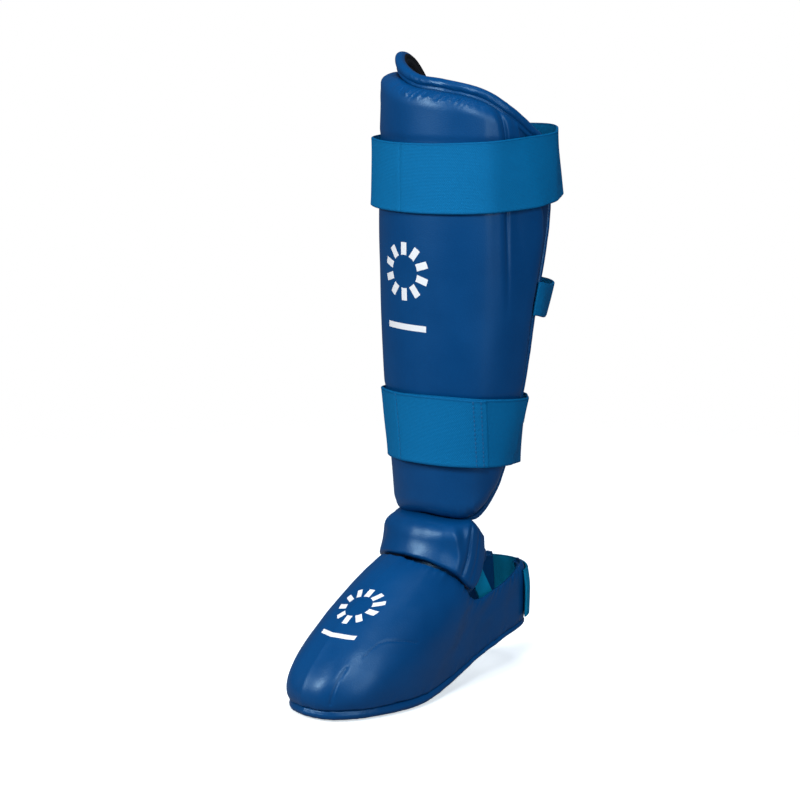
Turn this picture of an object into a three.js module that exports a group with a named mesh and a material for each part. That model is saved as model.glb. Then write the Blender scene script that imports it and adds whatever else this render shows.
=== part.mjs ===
// Shin and instep guard for a left leg, in the shape that it has when worn.
// Millimetres. +Z runs up the leg, the toes point along -Y and +X is the outer side of the leg.
// The origin is on the plane that the foot stands on, under the middle of the ankle.
import * as THREE from "three";

// Thicknesses
const GAP = 0.3; // between pieces that touch
const LINING = 1.2; // black lining of the shin guard
const BACKING = 4.5; // foam sheet that the shin pad is sewn on
const PAD = 14.5; // shin pad, over the backing
// The pad falls off to this share of its thickness between these angles from the front.
const PAD_THIN = { start: 46, endLow: 88, endHigh: 70, share: 0.42 };
const ELASTIC = 2; // woven elastic
const TONGUE = 4; // backing of the instep pad
const INSTEP_PAD = 22;

// Shin guard: edges and rolls
const COLLAR_ROLL = { wide: 4.6, high: 5.4 };
const COLLAR_REACH = 104; // degrees from the front to each end of the roll
const SIDE_ROLL = 2.2;
const SHOULDER = 12; // how far down the pad's top edge is rounded
const PAD_SIDE_ROUND = 13;
const PAD_FOOT_ROUND = 13;
const PAD_EDGE = 3; // thickness left at the rounded edges
const PAD_BELOW_COLLAR = 5;

// Straps, as bands between two heights
const UPPER_STRAP = { low: 393, high: 449, end: -72, overlap: 66, tilt: 4, puff: 3.4 };
const LOWER_STRAP = { low: 186, high: 243, end: 56, overlap: 60, tilt: 0, puff: 0 };
const CALF_STRAP = { low: 302, high: 332, tuck: 3, drop: 7 };
const STRAP_SLACK = 1.1;
const SKIN_CLEARANCE = 1;

// Foot guard
const SOLE_ROLL = { toe: 4.3, heel: 3 };
const INSTEP_ROUND = { top: 12, foot: 6 };
const INSTEP_PUFF = 6; // how far the pad swells up in front of the shin guard's foot
const HEEL_ELASTIC = [
  { z: 46, out: 0.6 },
  { z: 72, out: 0.8 },
  { z: 86, out: -1 },
];
const ANKLE_ELASTIC = {
  top: { z: 98, out: 30, front: -42, back: -26.5 },
  foot: { z: 50, out: 32.6, front: -20, back: 0 },
};
const SOLE_STRAPS = {
  front: { from: -170, to: -142, halfFrom: 26.5, halfTo: 34.5, rise: 26 },
  rear: { from: -126, to: -98, halfFrom: 39.5, halfTo: 39, rise: 32 },
};
const JOINING_TAB = { half: 15, low: 118, high: 172, thick: 1.6 };

const rad = THREE.MathUtils.degToRad;
const clamp = THREE.MathUtils.clamp;
const lerp = THREE.MathUtils.lerp;
const smooth = THREE.MathUtils.smoothstep;
const UP = new THREE.Vector3(0, 0, 1);

// A table read between its rows along a smooth curve. The first column is what it is read by.
function table(rows) {
  const [key, ...columns] = Object.keys(rows[0]);
  const values = rows.flatMap((row) => columns.map((column) => row[column]));
  const curve = new THREE.CubicInterpolant(rows.map((row) => row[key]), values, columns.length);
  return (at) => {
    const found = curve.evaluate(at);
    return Object.fromEntries(columns.map((column, i) => [column, found[i]]));
  };
}

// Inside of the shin guard by height: half width, half depth and where its middle lies along Y.
const hollow = table([
  { z: 140, width: 36, depth: 33, middle: -14 },
  { z: 173, width: 39, depth: 36, middle: -13 },
  { z: 245, width: 49.5, depth: 46.5, middle: -7 },
  { z: 311, width: 55, depth: 52, middle: -3 },
  { z: 384, width: 59, depth: 56, middle: 0 },
  { z: 450, width: 58, depth: 56, middle: 0 },
  { z: 475, width: 56.5, depth: 55.5, middle: 0 },
  { z: 515, width: 56, depth: 55, middle: 0 },
]);

// The leg that the straps go round.
const leg = table([
  { z: 125, width: 33, depth: 37, middle: -2 },
  { z: 170, width: 33, depth: 36, middle: -1 },
  { z: 244, width: 37, depth: 41, middle: 3 },
  { z: 291, width: 44, depth: 49, middle: 9 },
  { z: 338, width: 51, depth: 58, middle: 14 },
  { z: 390, width: 54, depth: 61, middle: 16 },
  { z: 440, width: 53, depth: 59, middle: 11 },
  { z: 500, width: 54, depth: 58, middle: 6 },
]);

// How far round the leg the backing reaches, in degrees from the front, and the pad on it.
const reach = table([
  { z: 141, backing: 51, pad: 47 },
  { z: 147, backing: 61, pad: 56 },
  { z: 157, backing: 71, pad: 66 },
  { z: 173, backing: 82, pad: 77 },
  { z: 245, backing: 93, pad: 87 },
  { z: 311, backing: 97, pad: 89 },
  { z: 384, backing: 108, pad: 93 },
  { z: 452, backing: 108, pad: 72 },
  { z: 515, backing: 108, pad: 67 },
]);

// Top edge of the backing by angle from the front. The inner side of the leg is the high one.
const collar = table([
  { angle: -108, z: 440 },
  { angle: -99, z: 456 },
  { angle: -88, z: 480 },
  { angle: -75, z: 496 },
  { angle: -58, z: 501 },
  { angle: -40, z: 497 },
  { angle: -6, z: 487 },
  { angle: 14, z: 482 },
  { angle: 46, z: 476 },
  { angle: 66, z: 466 },
  { angle: 85, z: 451 },
  { angle: 99, z: 439 },
  { angle: 108, z: 430 },
]);

// Bottom edge of the backing by angle.
const hem = table([
  { angle: -57, z: 143 },
  { angle: -40, z: 141 },
  { angle: 0, z: 145 },
  { angle: 40, z: 141 },
  { angle: 57, z: 143 },
]);

// Inside of the tongue behind the instep pad.
const instep = table([
  { z: 58, width: 36, depth: 46, middle: -32 },
  { z: 80, width: 35, depth: 38, middle: -32 },
  { z: 104, width: 34, depth: 29, middle: -32 },
  { z: 122, width: 32.5, depth: 23, middle: -32 },
  { z: 136, width: 31.5, depth: 19, middle: -32 },
]);

// Edges of the tongue by angle, and of the pad on it.
const tongueEdge = table([
  { angle: 0, low: 95, high: 133 },
  { angle: 30, low: 92, high: 133 },
  { angle: 60, low: 82, high: 132 },
  { angle: 70, low: 78, high: 130 },
  { angle: 80, low: 84, high: 127 },
  { angle: 91, low: 98, high: 116 },
  { angle: 100, low: 103, high: 114 },
  { angle: 104, low: 106, high: 112 },
]);
const TONGUE_REACH = 104;
const instepEdge = table([
  { angle: 0, low: 108, high: 137 },
  { angle: 25, low: 105, high: 136 },
  { angle: 50, low: 95, high: 135 },
  { angle: 62, low: 86, high: 134 },
  { angle: 70, low: 81, high: 132 },
  { angle: 78, low: 88, high: 130 },
  { angle: 84, low: 97, high: 128 },
  { angle: 90, low: 109, high: 124 },
]);
const INSTEP_REACH = 90;

// Outer face of the foot guard on the +X side from the toe to the heel. The foot edge is at the sole, the top edge is
// round the ankle, and bulge and fill say how full the face is between them, low down and high up.
const footFace = table([
  { at: 0, footX: 0, footY: -198, footZ: 9.5, topX: 0, topY: -74, topZ: 104, bulge: 21, fill: 33, wall: 7 },
  { at: 0.09, footX: 21, footY: -192, footZ: 9.5, topX: 10, topY: -73, topZ: 103, bulge: 19.5, fill: 31, wall: 7 },
  { at: 0.19, footX: 37, footY: -173, footZ: 9.5, topX: 21, topY: -68, topZ: 101, bulge: 14.5, fill: 25, wall: 7 },
  { at: 0.3, footX: 47, footY: -140, footZ: 9.5, topX: 31, topY: -58, topZ: 91, bulge: 9, fill: 18, wall: 7 },
  { at: 0.41, footX: 48, footY: -106, footZ: 10, topX: 37.5, topY: -50, topZ: 79, bulge: 5, fill: 13, wall: 6.5 },
  { at: 0.5, footX: 44, footY: -76, footZ: 15, topX: 40.5, topY: -42, topZ: 74, bulge: 3, fill: 7, wall: 6 },
  { at: 0.62, footX: 41, footY: -40, footZ: 27, topX: 41, topY: -21, topZ: 78, bulge: 1.5, fill: 5, wall: 5 },
  { at: 0.76, footX: 40, footY: -6, footZ: 37, topX: 39, topY: 2, topZ: 85, bulge: 1.5, fill: 5, wall: 5 },
  { at: 0.89, footX: 34, footY: 25, footZ: 42, topX: 31, topY: 23, topZ: 92, bulge: 1.5, fill: 6, wall: 5 },
  { at: 1, footX: 15, footY: 43, footZ: 42, topX: 14, topY: 38, topZ: 90, bulge: 1, fill: 6, wall: 5 },
]);

const bend = (angle) => new THREE.Vector3(Math.sin(angle), -Math.cos(angle), 0);

// A point at a height and an angle from the front, some way out from a sleeve such as the hollow or the leg.
function around(sleeve, degrees, z, out) {
  const { width, depth, middle } = sleeve(z);
  const way = bend(rad(degrees));
  return new THREE.Vector3((width + out) * way.x, middle + (depth + out) * way.y, z);
}

// A closed wall between two grids of points, outer[row][column] and inner[row][column].
// In a loop the last column meets the first.
function wall(outer, inner, loop = false) {
  const rows = outer.length;
  const columns = outer[0].length;
  const last = loop ? columns : columns - 1;
  const points = [...outer.flat(), ...inner.flat()];
  const faces = [];
  const at = (side, row, column) => side * rows * columns + row * columns + (column % columns);
  const quad = (a, b, c, d) => faces.push(a, b, c, a, c, d);
  for (let column = 0; column < last; column++) {
    const next = column + 1;
    for (let row = 0; row < rows - 1; row++) {
      quad(at(0, row, column), at(0, row, next), at(0, row + 1, next), at(0, row + 1, column));
      quad(at(1, row, column), at(1, row + 1, column), at(1, row + 1, next), at(1, row, next));
    }
    quad(at(0, 0, column), at(1, 0, column), at(1, 0, next), at(0, 0, next));
    const top = rows - 1;
    quad(at(0, top, column), at(0, top, next), at(1, top, next), at(1, top, column));
  }
  for (let row = 0; row < rows - 1 && !loop; row++) {
    quad(at(0, row, 0), at(0, row + 1, 0), at(1, row + 1, 0), at(1, row, 0));
    const end = columns - 1;
    quad(at(0, row, end), at(1, row, end), at(1, row + 1, end), at(0, row + 1, end));
  }
  return facingOut(points, faces);
}

// A roll through rings of points. In a loop the last ring meets the first; otherwise both ends are closed by a fan.
function roll(rings, loop = false) {
  const sides = rings[0].length;
  const points = rings.flat();
  const faces = [];
  for (let ring = 0; ring < rings.length - (loop ? 0 : 1); ring++)
    for (let side = 0; side < sides; side++) {
      const a = ring * sides + side;
      const b = ring * sides + ((side + 1) % sides);
      const c = ((ring + 1) % rings.length) * sides + ((side + 1) % sides);
      const d = ((ring + 1) % rings.length) * sides + side;
      faces.push(a, b, c, a, c, d);
    }
  const end = (rings.length - 1) * sides;
  for (let side = 1; side < sides - 1 && !loop; side++) {
    faces.push(0, side + 1, side);
    faces.push(end, end + side, end + side + 1);
  }
  return facingOut(points, faces);
}

// The geometry of a closed surface, turned round if its faces point inwards.
function facingOut(points, faces) {
  let volume = 0;
  const [a, b, c] = [0, 1, 2].map(() => new THREE.Vector3());
  for (let i = 0; i < faces.length; i += 3)
    volume += a.copy(points[faces[i]]).dot(b.copy(points[faces[i + 1]]).cross(c.copy(points[faces[i + 2]])));
  if (volume < 0) faces.reverse();
  const geometry = new THREE.BufferGeometry().setFromPoints(points).setIndex(faces);
  geometry.computeVertexNormals();
  return geometry;
}

// Shares from 0 to 1 that are close together where the edges are rounded.
function steps(middle, edge, round) {
  const ends = Array.from({ length: edge }, (_, i) => round * (1 - Math.cos((i / edge) * (Math.PI / 2))));
  const inside = Array.from({ length: middle + 1 }, (_, i) => lerp(round, 1 - round, i / middle));
  return [...ends, ...inside, ...ends.map((share) => 1 - share).reverse()];
}

// How much of its full thickness a pad has at a distance from an edge that is rounded.
const rounded = (distance, radius) => Math.sqrt(1 - (1 - clamp(distance / radius, 0, 1)) ** 2);

// Shin guard

// A point of the shin guard at a share across it, from the inner edge to the outer, and a share up it.
function shinSpot(across, up, part) {
  let z = lerp(hem(0).z, collar(0).z, up);
  let degrees = 0;
  for (let pass = 0; pass < 4; pass++) {
    degrees = lerp(-1, 1, across) * reach(z)[part];
    z = lerp(hem(degrees).z, collar(degrees).z, up);
  }
  return { degrees, z };
}

function shinSheet(low, high, rowCount, columnCount) {
  const layer = (out) =>
    steps(rowCount, 1, 0.04).map((up) =>
      steps(columnCount, 1, 0.03).map((across) => {
        const { degrees, z } = shinSpot(across, up, "backing");
        return around(hollow, degrees, z, out);
      }),
    );
  return wall(layer(high), layer(low));
}

const shinBacking = () => shinSheet(LINING + 2 * GAP, LINING + GAP + BACKING, 10, 20);
const shinLining = () => shinSheet(0, LINING, 9, 16);

const PAD_BASE = LINING + GAP + BACKING + 3 * GAP;

// The pad's full thickness, which falls towards the sides of the leg: soon in front of the calf, later at the ankle.
function padThickness(degrees, z) {
  const thin = lerp(PAD_THIN.endLow, PAD_THIN.endHigh, smooth(z, 300, 390));
  return PAD * lerp(1, PAD_THIN.share, smooth(Math.abs(degrees), PAD_THIN.start, thin));
}

// The pad's surface, out from the hollow: full over the shin, and rounded off to its four edges.
function padSurface(across, up, share) {
  const { degrees, z } = shinSpot(across, up, "pad");
  const top = collar(degrees).z - PAD_BELOW_COLLAR;
  const height = lerp(hem(degrees).z, top, up);
  const { width } = hollow(height);
  const fromSide = (1 - Math.abs(lerp(-1, 1, across))) * rad(reach(height).pad) * (width + PAD_BASE);
  const full =
    rounded(fromSide, PAD_SIDE_ROUND) *
    rounded(top - height, SHOULDER) *
    rounded(height - hem(degrees).z, PAD_FOOT_ROUND);
  const out = PAD_BASE + share * lerp(PAD_EDGE, padThickness(degrees, height), full);
  return around(hollow, degrees, height, out);
}

function shinPad() {
  const layer = (share) =>
    steps(10, 3, 0.036).map((up) => steps(18, 3, 0.05).map((across) => padSurface(across, up, share)));
  return wall(layer(1), layer(0));
}

// A ring of points round a spot on an edge, in the plane of two directions.
function ringAt(centre, outwards, upwards, wide, high, sides) {
  return Array.from({ length: sides }, (_, i) => {
    const turn = (i / sides) * 2 * Math.PI;
    return centre
      .clone()
      .addScaledVector(outwards, wide * Math.cos(turn))
      .addScaledVector(upwards, high * Math.sin(turn));
  });
}

// A roll along an edge of a sheet: spots on the edge, how far off it lies, and its two half thicknesses.
function edgeRoll(edge, outwardsAt, count, off, wide, high, sides) {
  const path = new THREE.CatmullRomCurve3(edge);
  const rings = Array.from({ length: count + 1 }, (_, i) => {
    const spot = path.getPointAt(i / count);
    const along = path.getTangentAt(i / count);
    const outwards = outwardsAt(spot);
    const away = new THREE.Vector3().crossVectors(outwards, along).normalize();
    const centre = spot.clone().addScaledVector(away, off(i / count));
    return ringAt(centre, outwards, away, wide(i / count), high(i / count), sides);
  });
  return roll(rings);
}

const fromMiddle = (spot) => new THREE.Vector3(spot.x, spot.y - hollow(spot.z).middle, 0).normalize();

// The stuffed roll along the top edge, from the outer side of the leg round the shin to the inner side.
function collarRoll() {
  const out = LINING + GAP + BACKING / 2;
  const edge = Array.from({ length: 45 }, (_, i) => {
    const degrees = lerp(-COLLAR_REACH, COLLAR_REACH, i / 44);
    return around(hollow, degrees, collar(degrees).z, out);
  });
  const { wide, high } = COLLAR_ROLL;
  const taper = (share) => lerp(0.45, 1, smooth(Math.min(share, 1 - share), 0, 0.06));
  const off = (share) => high * taper(share) + 2 * GAP;
  return edgeRoll(edge, fromMiddle, 40, off, (share) => wide * taper(share), (share) => high * taper(share), 8);
}

// The thin roll round the sides and the foot of the backing.
function sideRoll() {
  const out = LINING + GAP + BACKING / 2;
  const place = ({ degrees, z }) => around(hollow, degrees, z, out);
  const stretch = (spot, count) => Array.from({ length: count }, (_, i) => place(spot((i + 0.5) / count)));
  const edge = [
    ...stretch((share) => shinSpot(1, 1 - share, "backing"), 26),
    ...stretch((share) => shinSpot(1 - share, 0, "backing"), 12),
    ...stretch((share) => shinSpot(0, share, "backing"), 26),
  ];
  const same = (size) => () => size;
  return edgeRoll(edge, fromMiddle, 56, same(SIDE_ROLL + 5 * GAP), same(SIDE_ROLL), same(SIDE_ROLL), 6);
}

// Straps

// The points that a strap at one height has to go round: the pad, the edge of the backing and the calf.
function crossSection(height, raise) {
  const points = [];
  for (let degrees = -180; degrees < 180; degrees += 3) {
    const z = height + raise(degrees);
    const { pad, backing } = reach(z);
    points.push(around(leg, degrees, z, SKIN_CLEARANCE));
    const off = Math.abs(degrees);
    const fromSide = rad(pad - off) * (hollow(z).width + PAD_BASE);
    const thick = lerp(PAD_EDGE, padThickness(degrees, z), rounded(fromSide, PAD_SIDE_ROUND));
    if (off < pad) points.push(around(hollow, degrees, z, PAD_BASE + thick));
    else if (off < backing + 5) points.push(around(hollow, degrees, z, LINING + BACKING / 2 + COLLAR_ROLL.wide + GAP));
  }
  return points;
}

// Half planes touching the points give the line of a band pulled tight round them, by angle from the front.
function tightBand(height, raise) {
  const points = crossSection(height, raise);
  const middle = hollow(height).middle;
  const touching = Array.from({ length: 180 }, (_, i) => {
    const way = bend(rad(i * 2));
    return { way, far: Math.max(...points.map((p) => p.x * way.x + (p.y - middle) * way.y)) };
  });
  return (degrees) => {
    const way = bend(rad(degrees));
    const lengths = touching.map((side) => side.far / Math.max(side.way.dot(way), 1e-6));
    return { way, middle, far: Math.min(...lengths) };
  };
}

// A strap pulled round the leg once, with its end lying over its beginning. The puff is how far it stands off the
// pad's inner corner.
function wrappedStrap({ low, high, end, overlap, tilt, puff }) {
  const COUNT = 60;
  const raise = (degrees) => -tilt * Math.cos(rad(degrees + 20));
  const layer = (out) =>
    [0, 0.5, 1].map((up) => {
      const z = lerp(low, high, up);
      const band = tightBand(z, raise);
      return Array.from({ length: COUNT + 1 }, (_, i) => {
        const turned = lerp(0, 360 + overlap, i / COUNT);
        const degrees = end - overlap + turned;
        const { way, middle, far } = band(degrees);
        const lift = (ELASTIC + 2 * GAP) * smooth(turned, 360 - 40, 360);
        const off = puff * (1 - smooth(Math.abs(degrees + 50), 0, 45));
        const distance = far + STRAP_SLACK + lift + off + out;
        return new THREE.Vector3(distance * way.x, middle + distance * way.y, z + raise(degrees));
      });
    });
  return wall(layer(ELASTIC), layer(0));
}

// The narrow strap behind the calf, sewn to both side edges of the backing.
function calfStrap() {
  const COUNT = 26;
  const { low, high, tuck, drop } = CALF_STRAP;
  const layer = (out) =>
    [low, high].map((z) => {
      const from = reach(z).backing - tuck;
      return Array.from({ length: COUNT + 1 }, (_, i) => {
        const degrees = lerp(from, 360 - from, i / COUNT);
        const off = Math.min(degrees - from, 360 - from - degrees);
        const onGuard = around(hollow, degrees, z, PAD_BASE + GAP + out);
        const onLeg = around(leg, degrees, z, SKIN_CLEARANCE + out);
        const lower = UP.clone().multiplyScalar(-drop * smooth(off, 0, 30));
        return onGuard.lerp(onLeg, smooth(off, tuck + 4, tuck + 30)).add(lower);
      });
    });
  return wall(layer(ELASTIC), layer(0));
}

// Foot guard

// A point of the foot guard's outer face. Across runs from the heel's inner side (-1) over the toe (0) to its outer
// side (1), and up from the sole to the ankle.
function footPoint(across, up) {
  const row = footFace(Math.abs(across));
  const side = across < 0 ? -1 : 1;
  const foot = new THREE.Vector3(row.footX, row.footY, row.footZ);
  const top = new THREE.Vector3(row.topX, row.topY, row.topZ);
  const middle = new THREE.Vector3(0, -120, 0);
  const heel = new THREE.Vector3(0, 8, 0);
  const centre = middle.lerp(heel, smooth(row.footY, -140, -20));
  const away = foot.clone().sub(centre).setZ(0).normalize();
  const low = foot.clone().addScaledVector(away, row.bulge).addScaledVector(UP, 0.3 * (row.topZ - row.footZ));
  const high = top.clone().addScaledVector(away, row.fill).addScaledVector(UP, -0.04 * row.fill);
  const point = new THREE.CubicBezierCurve3(foot, low, high, top).getPoint(up);
  return point.setX(side * point.x);
}

// The same point moved inwards, square to the face.
function footInside(across, up, depth) {
  const STEP = 0.004;
  const spot = footPoint(across, up);
  const sideways = footPoint(across + STEP, up).sub(footPoint(across - STEP, up));
  const upwards = footPoint(across, Math.min(up + STEP, 1)).sub(footPoint(across, Math.max(up - STEP, 0)));
  const outwards = new THREE.Vector3().crossVectors(sideways, upwards).normalize();
  return spot.addScaledVector(outwards, -depth);
}

const FOOT_ROWS = steps(8, 1, 0.03);
const FOOT_COLUMNS = steps(40, 1, 0.006).map((share) => lerp(-1, 1, share));

function footShell() {
  const layer = (depth) =>
    FOOT_ROWS.map((up) => FOOT_COLUMNS.map((across) => footInside(across, up, depth(Math.abs(across)))));
  return wall(layer(() => 0), layer((at) => footFace(at).wall));
}

// The rolled edge of the sole.
function soleRoll() {
  const edge = FOOT_COLUMNS.toReversed().map((across) => {
    const { wall, footZ } = footFace(Math.abs(across));
    return footInside(across, 0, wall / 2).setZ(footZ);
  });
  const size = (share) => lerp(SOLE_ROLL.heel, SOLE_ROLL.toe, smooth(0.5 - Math.abs(share - 0.5), 0.1, 0.32));
  const outwards = (spot) => new THREE.Vector3(spot.x, Math.min(spot.y + 110, 0) + Math.max(spot.y, 0), 0).normalize();
  return edgeRoll(edge, outwards, 52, (share) => size(share) + 2 * GAP, size, size, 7);
}

function tongue() {
  const layer = (out) =>
    steps(5, 1, 0.05).map((up) =>
      steps(16, 1, 0.02).map((across) => {
        const degrees = lerp(-TONGUE_REACH, TONGUE_REACH, across);
        const { low, high } = tongueEdge(Math.abs(degrees));
        return around(instep, degrees, lerp(low, high, up), out);
      }),
    );
  return wall(layer(TONGUE), layer(0));
}

function instepPad() {
  const base = TONGUE + 2 * GAP;
  const surface = (across, up, share) => {
    const degrees = lerp(-INSTEP_REACH, INSTEP_REACH, across);
    const { low, high } = instepEdge(Math.abs(degrees));
    const z = lerp(low, high, up);
    const fromSide = (INSTEP_REACH - Math.abs(degrees)) * rad(50);
    const full = rounded(fromSide, 20) * rounded(high - z, INSTEP_ROUND.top) * rounded(z - low, INSTEP_ROUND.foot);
    const thick = lerp(INSTEP_PAD, 9, smooth(Math.abs(degrees), 30, 90));
    const puff = share * INSTEP_PUFF * smooth(up, 0.4, 1) * (1 - smooth(Math.abs(degrees), 62, 84));
    return around(instep, degrees, z, base + share * lerp(PAD_EDGE, thick, full)).add(new THREE.Vector3(0, 0, puff));
  };
  const layer = (share) => steps(6, 3, 0.08).map((up) => steps(14, 2, 0.05).map((across) => surface(across, up, share)));
  return wall(layer(1), layer(0));
}

// The elastic at each ankle, from behind the tongue's side down into the foot guard.
function ankleElastic(side) {
  const { top, foot } = ANKLE_ELASTIC;
  const row = ({ z, out, front, back }, depth) => [front, back].map((y) => new THREE.Vector3(side * (out + depth), y, z));
  const layer = (depth) => [row(foot, depth), row(top, depth)];
  return wall(layer(ELASTIC), layer(0));
}

// The elastic round the back of the heel, over both ends of the foot guard.
function heelElastic() {
  const COUNT = 18;
  const half = [
    [38.5, 20],
    [33.5, 29],
    [25, 38],
    [14, 45],
    [0, 48],
  ].map(([x, y]) => new THREE.Vector3(x, y, 0));
  const otherHalf = half.slice(0, -1).reverse();
  const path = new THREE.CatmullRomCurve3([...half, ...otherHalf.map(({ x, y }) => new THREE.Vector3(-x, y, 0))]);
  const middle = new THREE.Vector3(0, 10, 0);
  const layer = (depth) =>
    HEEL_ELASTIC.map(({ z, out }) =>
      path.getSpacedPoints(2 * COUNT).map((spot) => {
        const outwards = spot.clone().sub(middle).normalize();
        return spot.clone().addScaledVector(outwards, out + depth).setZ(z);
      }),
    );
  return wall(layer(ELASTIC), layer(0));
}

// A strap under the sole, turned up inside the foot guard at both ends.
function soleStrap({ from, to, halfFrom, halfTo, rise }) {
  const ROUND = 8;
  const UNDER = 0.8;
  const FLARE = 4;
  const bendPoints = Array.from({ length: 5 }, (_, i) => rad(90 * (i / 4)));
  const line = (half) => {
    const side = [
      [half + FLARE, rise],
      [half + FLARE * 0.3, 15],
      ...bendPoints.map((turn) => [half - ROUND + ROUND * Math.cos(turn), UNDER + ROUND - ROUND * Math.sin(turn)]),
    ];
    return [...side, ...side.map(([x, z]) => [-x, z]).reverse()];
  };
  const edge = (y, half, depth) => {
    const spots = line(half);
    return spots.map(([x, z], i) => {
      const [ax, az] = spots[Math.max(i - 1, 0)];
      const [bx, bz] = spots[Math.min(i + 1, spots.length - 1)];
      const inwards = new THREE.Vector3(bz - az, 0, ax - bx).normalize();
      return new THREE.Vector3(x, y, z).addScaledVector(inwards, depth);
    });
  };
  const layer = (depth) => [edge(from, halfFrom, depth), edge(to, halfTo, depth)];
  return wall(layer(0), layer(ELASTIC));
}

// The plain tab inside that holds the tongue to the foot of the shin guard.
function joiningTab() {
  const { half, low, high, thick } = JOINING_TAB;
  const COUNT = 8;
  const layer = (depth) =>
    Array.from({ length: COUNT + 1 }, (_, i) => {
      const z = lerp(low, high, i / COUNT);
      const shin = hollow(z).middle - hollow(z).depth;
      const ankle = instep(z).middle - instep(z).depth;
      const front = lerp(ankle, shin, smooth(z, 136, 142));
      return [-1, -0.33, 0.33, 1].map((across) => {
        const curve = 3.2 * across * across;
        return new THREE.Vector3(across * half, front + 4 * GAP + curve + depth, z);
      });
    });
  return wall(layer(0), layer(thick));
}

const part = new THREE.Group();

function leather(color) {
  return new THREE.MeshStandardMaterial({ color, roughness: 0.42, metalness: 0 });
}
function cloth(color) {
  return new THREE.MeshStandardMaterial({ color, roughness: 0.85, metalness: 0 });
}
const BLUE_LEATHER = leather(0x164a8c);
const BLACK_LINING = cloth(0x16161a);
const BLUE_ELASTIC = cloth(0x1070a8);
const TEAL_ELASTIC = cloth(0x0a6488);
const WHITE_ELASTIC = cloth(0xd8d8d4);

function add(name, geometry, material, group = part) {
  const mesh = new THREE.Mesh(geometry, material);
  mesh.name = name;
  group.add(mesh);
}

add("shin_backing", shinBacking(), BLUE_LEATHER);
add("shin_lining", shinLining(), BLACK_LINING);
add("shin_pad", shinPad(), BLUE_LEATHER);
add("collar_roll", collarRoll(), BLUE_LEATHER);
add("side_roll", sideRoll(), BLUE_LEATHER);
add("upper_strap", wrappedStrap(UPPER_STRAP), BLUE_ELASTIC);
add("lower_strap", wrappedStrap(LOWER_STRAP), BLUE_ELASTIC);
add("calf_strap", calfStrap(), BLUE_ELASTIC);
add("joining_tab", joiningTab(), BLACK_LINING);
add("foot_shell", footShell(), BLUE_LEATHER);
add("sole_roll", soleRoll(), BLUE_LEATHER);
add("tongue", tongue(), BLUE_LEATHER);
add("instep_pad", instepPad(), BLUE_LEATHER);
add("ankle_elastic_inner", ankleElastic(-1), TEAL_ELASTIC);
add("ankle_elastic_outer", ankleElastic(1), TEAL_ELASTIC);
add("heel_elastic", heelElastic(), TEAL_ELASTIC);
add("sole_strap_front", soleStrap(SOLE_STRAPS.front), WHITE_ELASTIC);
add("sole_strap_rear", soleStrap(SOLE_STRAPS.rear), WHITE_ELASTIC);

export default part;
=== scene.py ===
"""The looks of a shin and instep guard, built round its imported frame.

Metres. +Z runs up the leg, the toes point along -Y and +X is the outer side of the leg.
The soft pieces are closed meshes whose surfaces follow the construction's own tables, in millimetres.
"""

import math

import bmesh
import bpy
import numpy as np
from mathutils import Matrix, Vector


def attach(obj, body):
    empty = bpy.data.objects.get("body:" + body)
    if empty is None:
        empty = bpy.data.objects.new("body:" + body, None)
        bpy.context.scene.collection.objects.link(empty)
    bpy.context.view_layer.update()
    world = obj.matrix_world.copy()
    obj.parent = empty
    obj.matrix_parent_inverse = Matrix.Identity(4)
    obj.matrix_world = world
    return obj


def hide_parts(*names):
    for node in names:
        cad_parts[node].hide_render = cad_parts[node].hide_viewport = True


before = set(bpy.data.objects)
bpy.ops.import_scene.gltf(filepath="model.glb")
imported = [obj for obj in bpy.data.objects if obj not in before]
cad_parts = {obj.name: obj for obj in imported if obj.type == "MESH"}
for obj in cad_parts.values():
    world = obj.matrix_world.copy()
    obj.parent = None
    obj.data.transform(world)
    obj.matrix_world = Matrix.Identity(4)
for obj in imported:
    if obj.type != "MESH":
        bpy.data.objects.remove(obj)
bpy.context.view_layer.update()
MM = 0.001

# Camera: where the photograph was taken from, in millimetres and degrees

AZIMUTH = 44.0
DISTANCE = 1950.0
HEIGHT = 600.0
PITCH = 10.8
FOCAL_PIXELS = 2400.0
SLIDE = 61.8


def make_camera():
    turn = math.radians(AZIMUTH)
    tilt = math.radians(PITCH)
    look = Vector((-math.sin(turn), math.cos(turn), 0))
    right = Vector((math.cos(turn), math.sin(turn), 0))
    place = -look * DISTANCE - right * SLIDE + Vector((0, 0, HEIGHT))
    aim = look * math.cos(tilt) - Vector((0, 0, math.sin(tilt)))
    camera = bpy.data.objects.new("camera", bpy.data.cameras.new("camera"))
    camera.data.sensor_width = 36
    camera.data.lens = 36 * FOCAL_PIXELS / 800
    camera.data.clip_start = 0.05
    camera.data.clip_end = 50
    camera.location = place * MM
    camera.rotation_mode = "QUATERNION"
    camera.rotation_quaternion = aim.to_track_quat("-Z", "Y")
    bpy.context.scene.collection.objects.link(camera)
    bpy.context.scene.camera = camera


make_camera()

# Reading the tables


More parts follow.
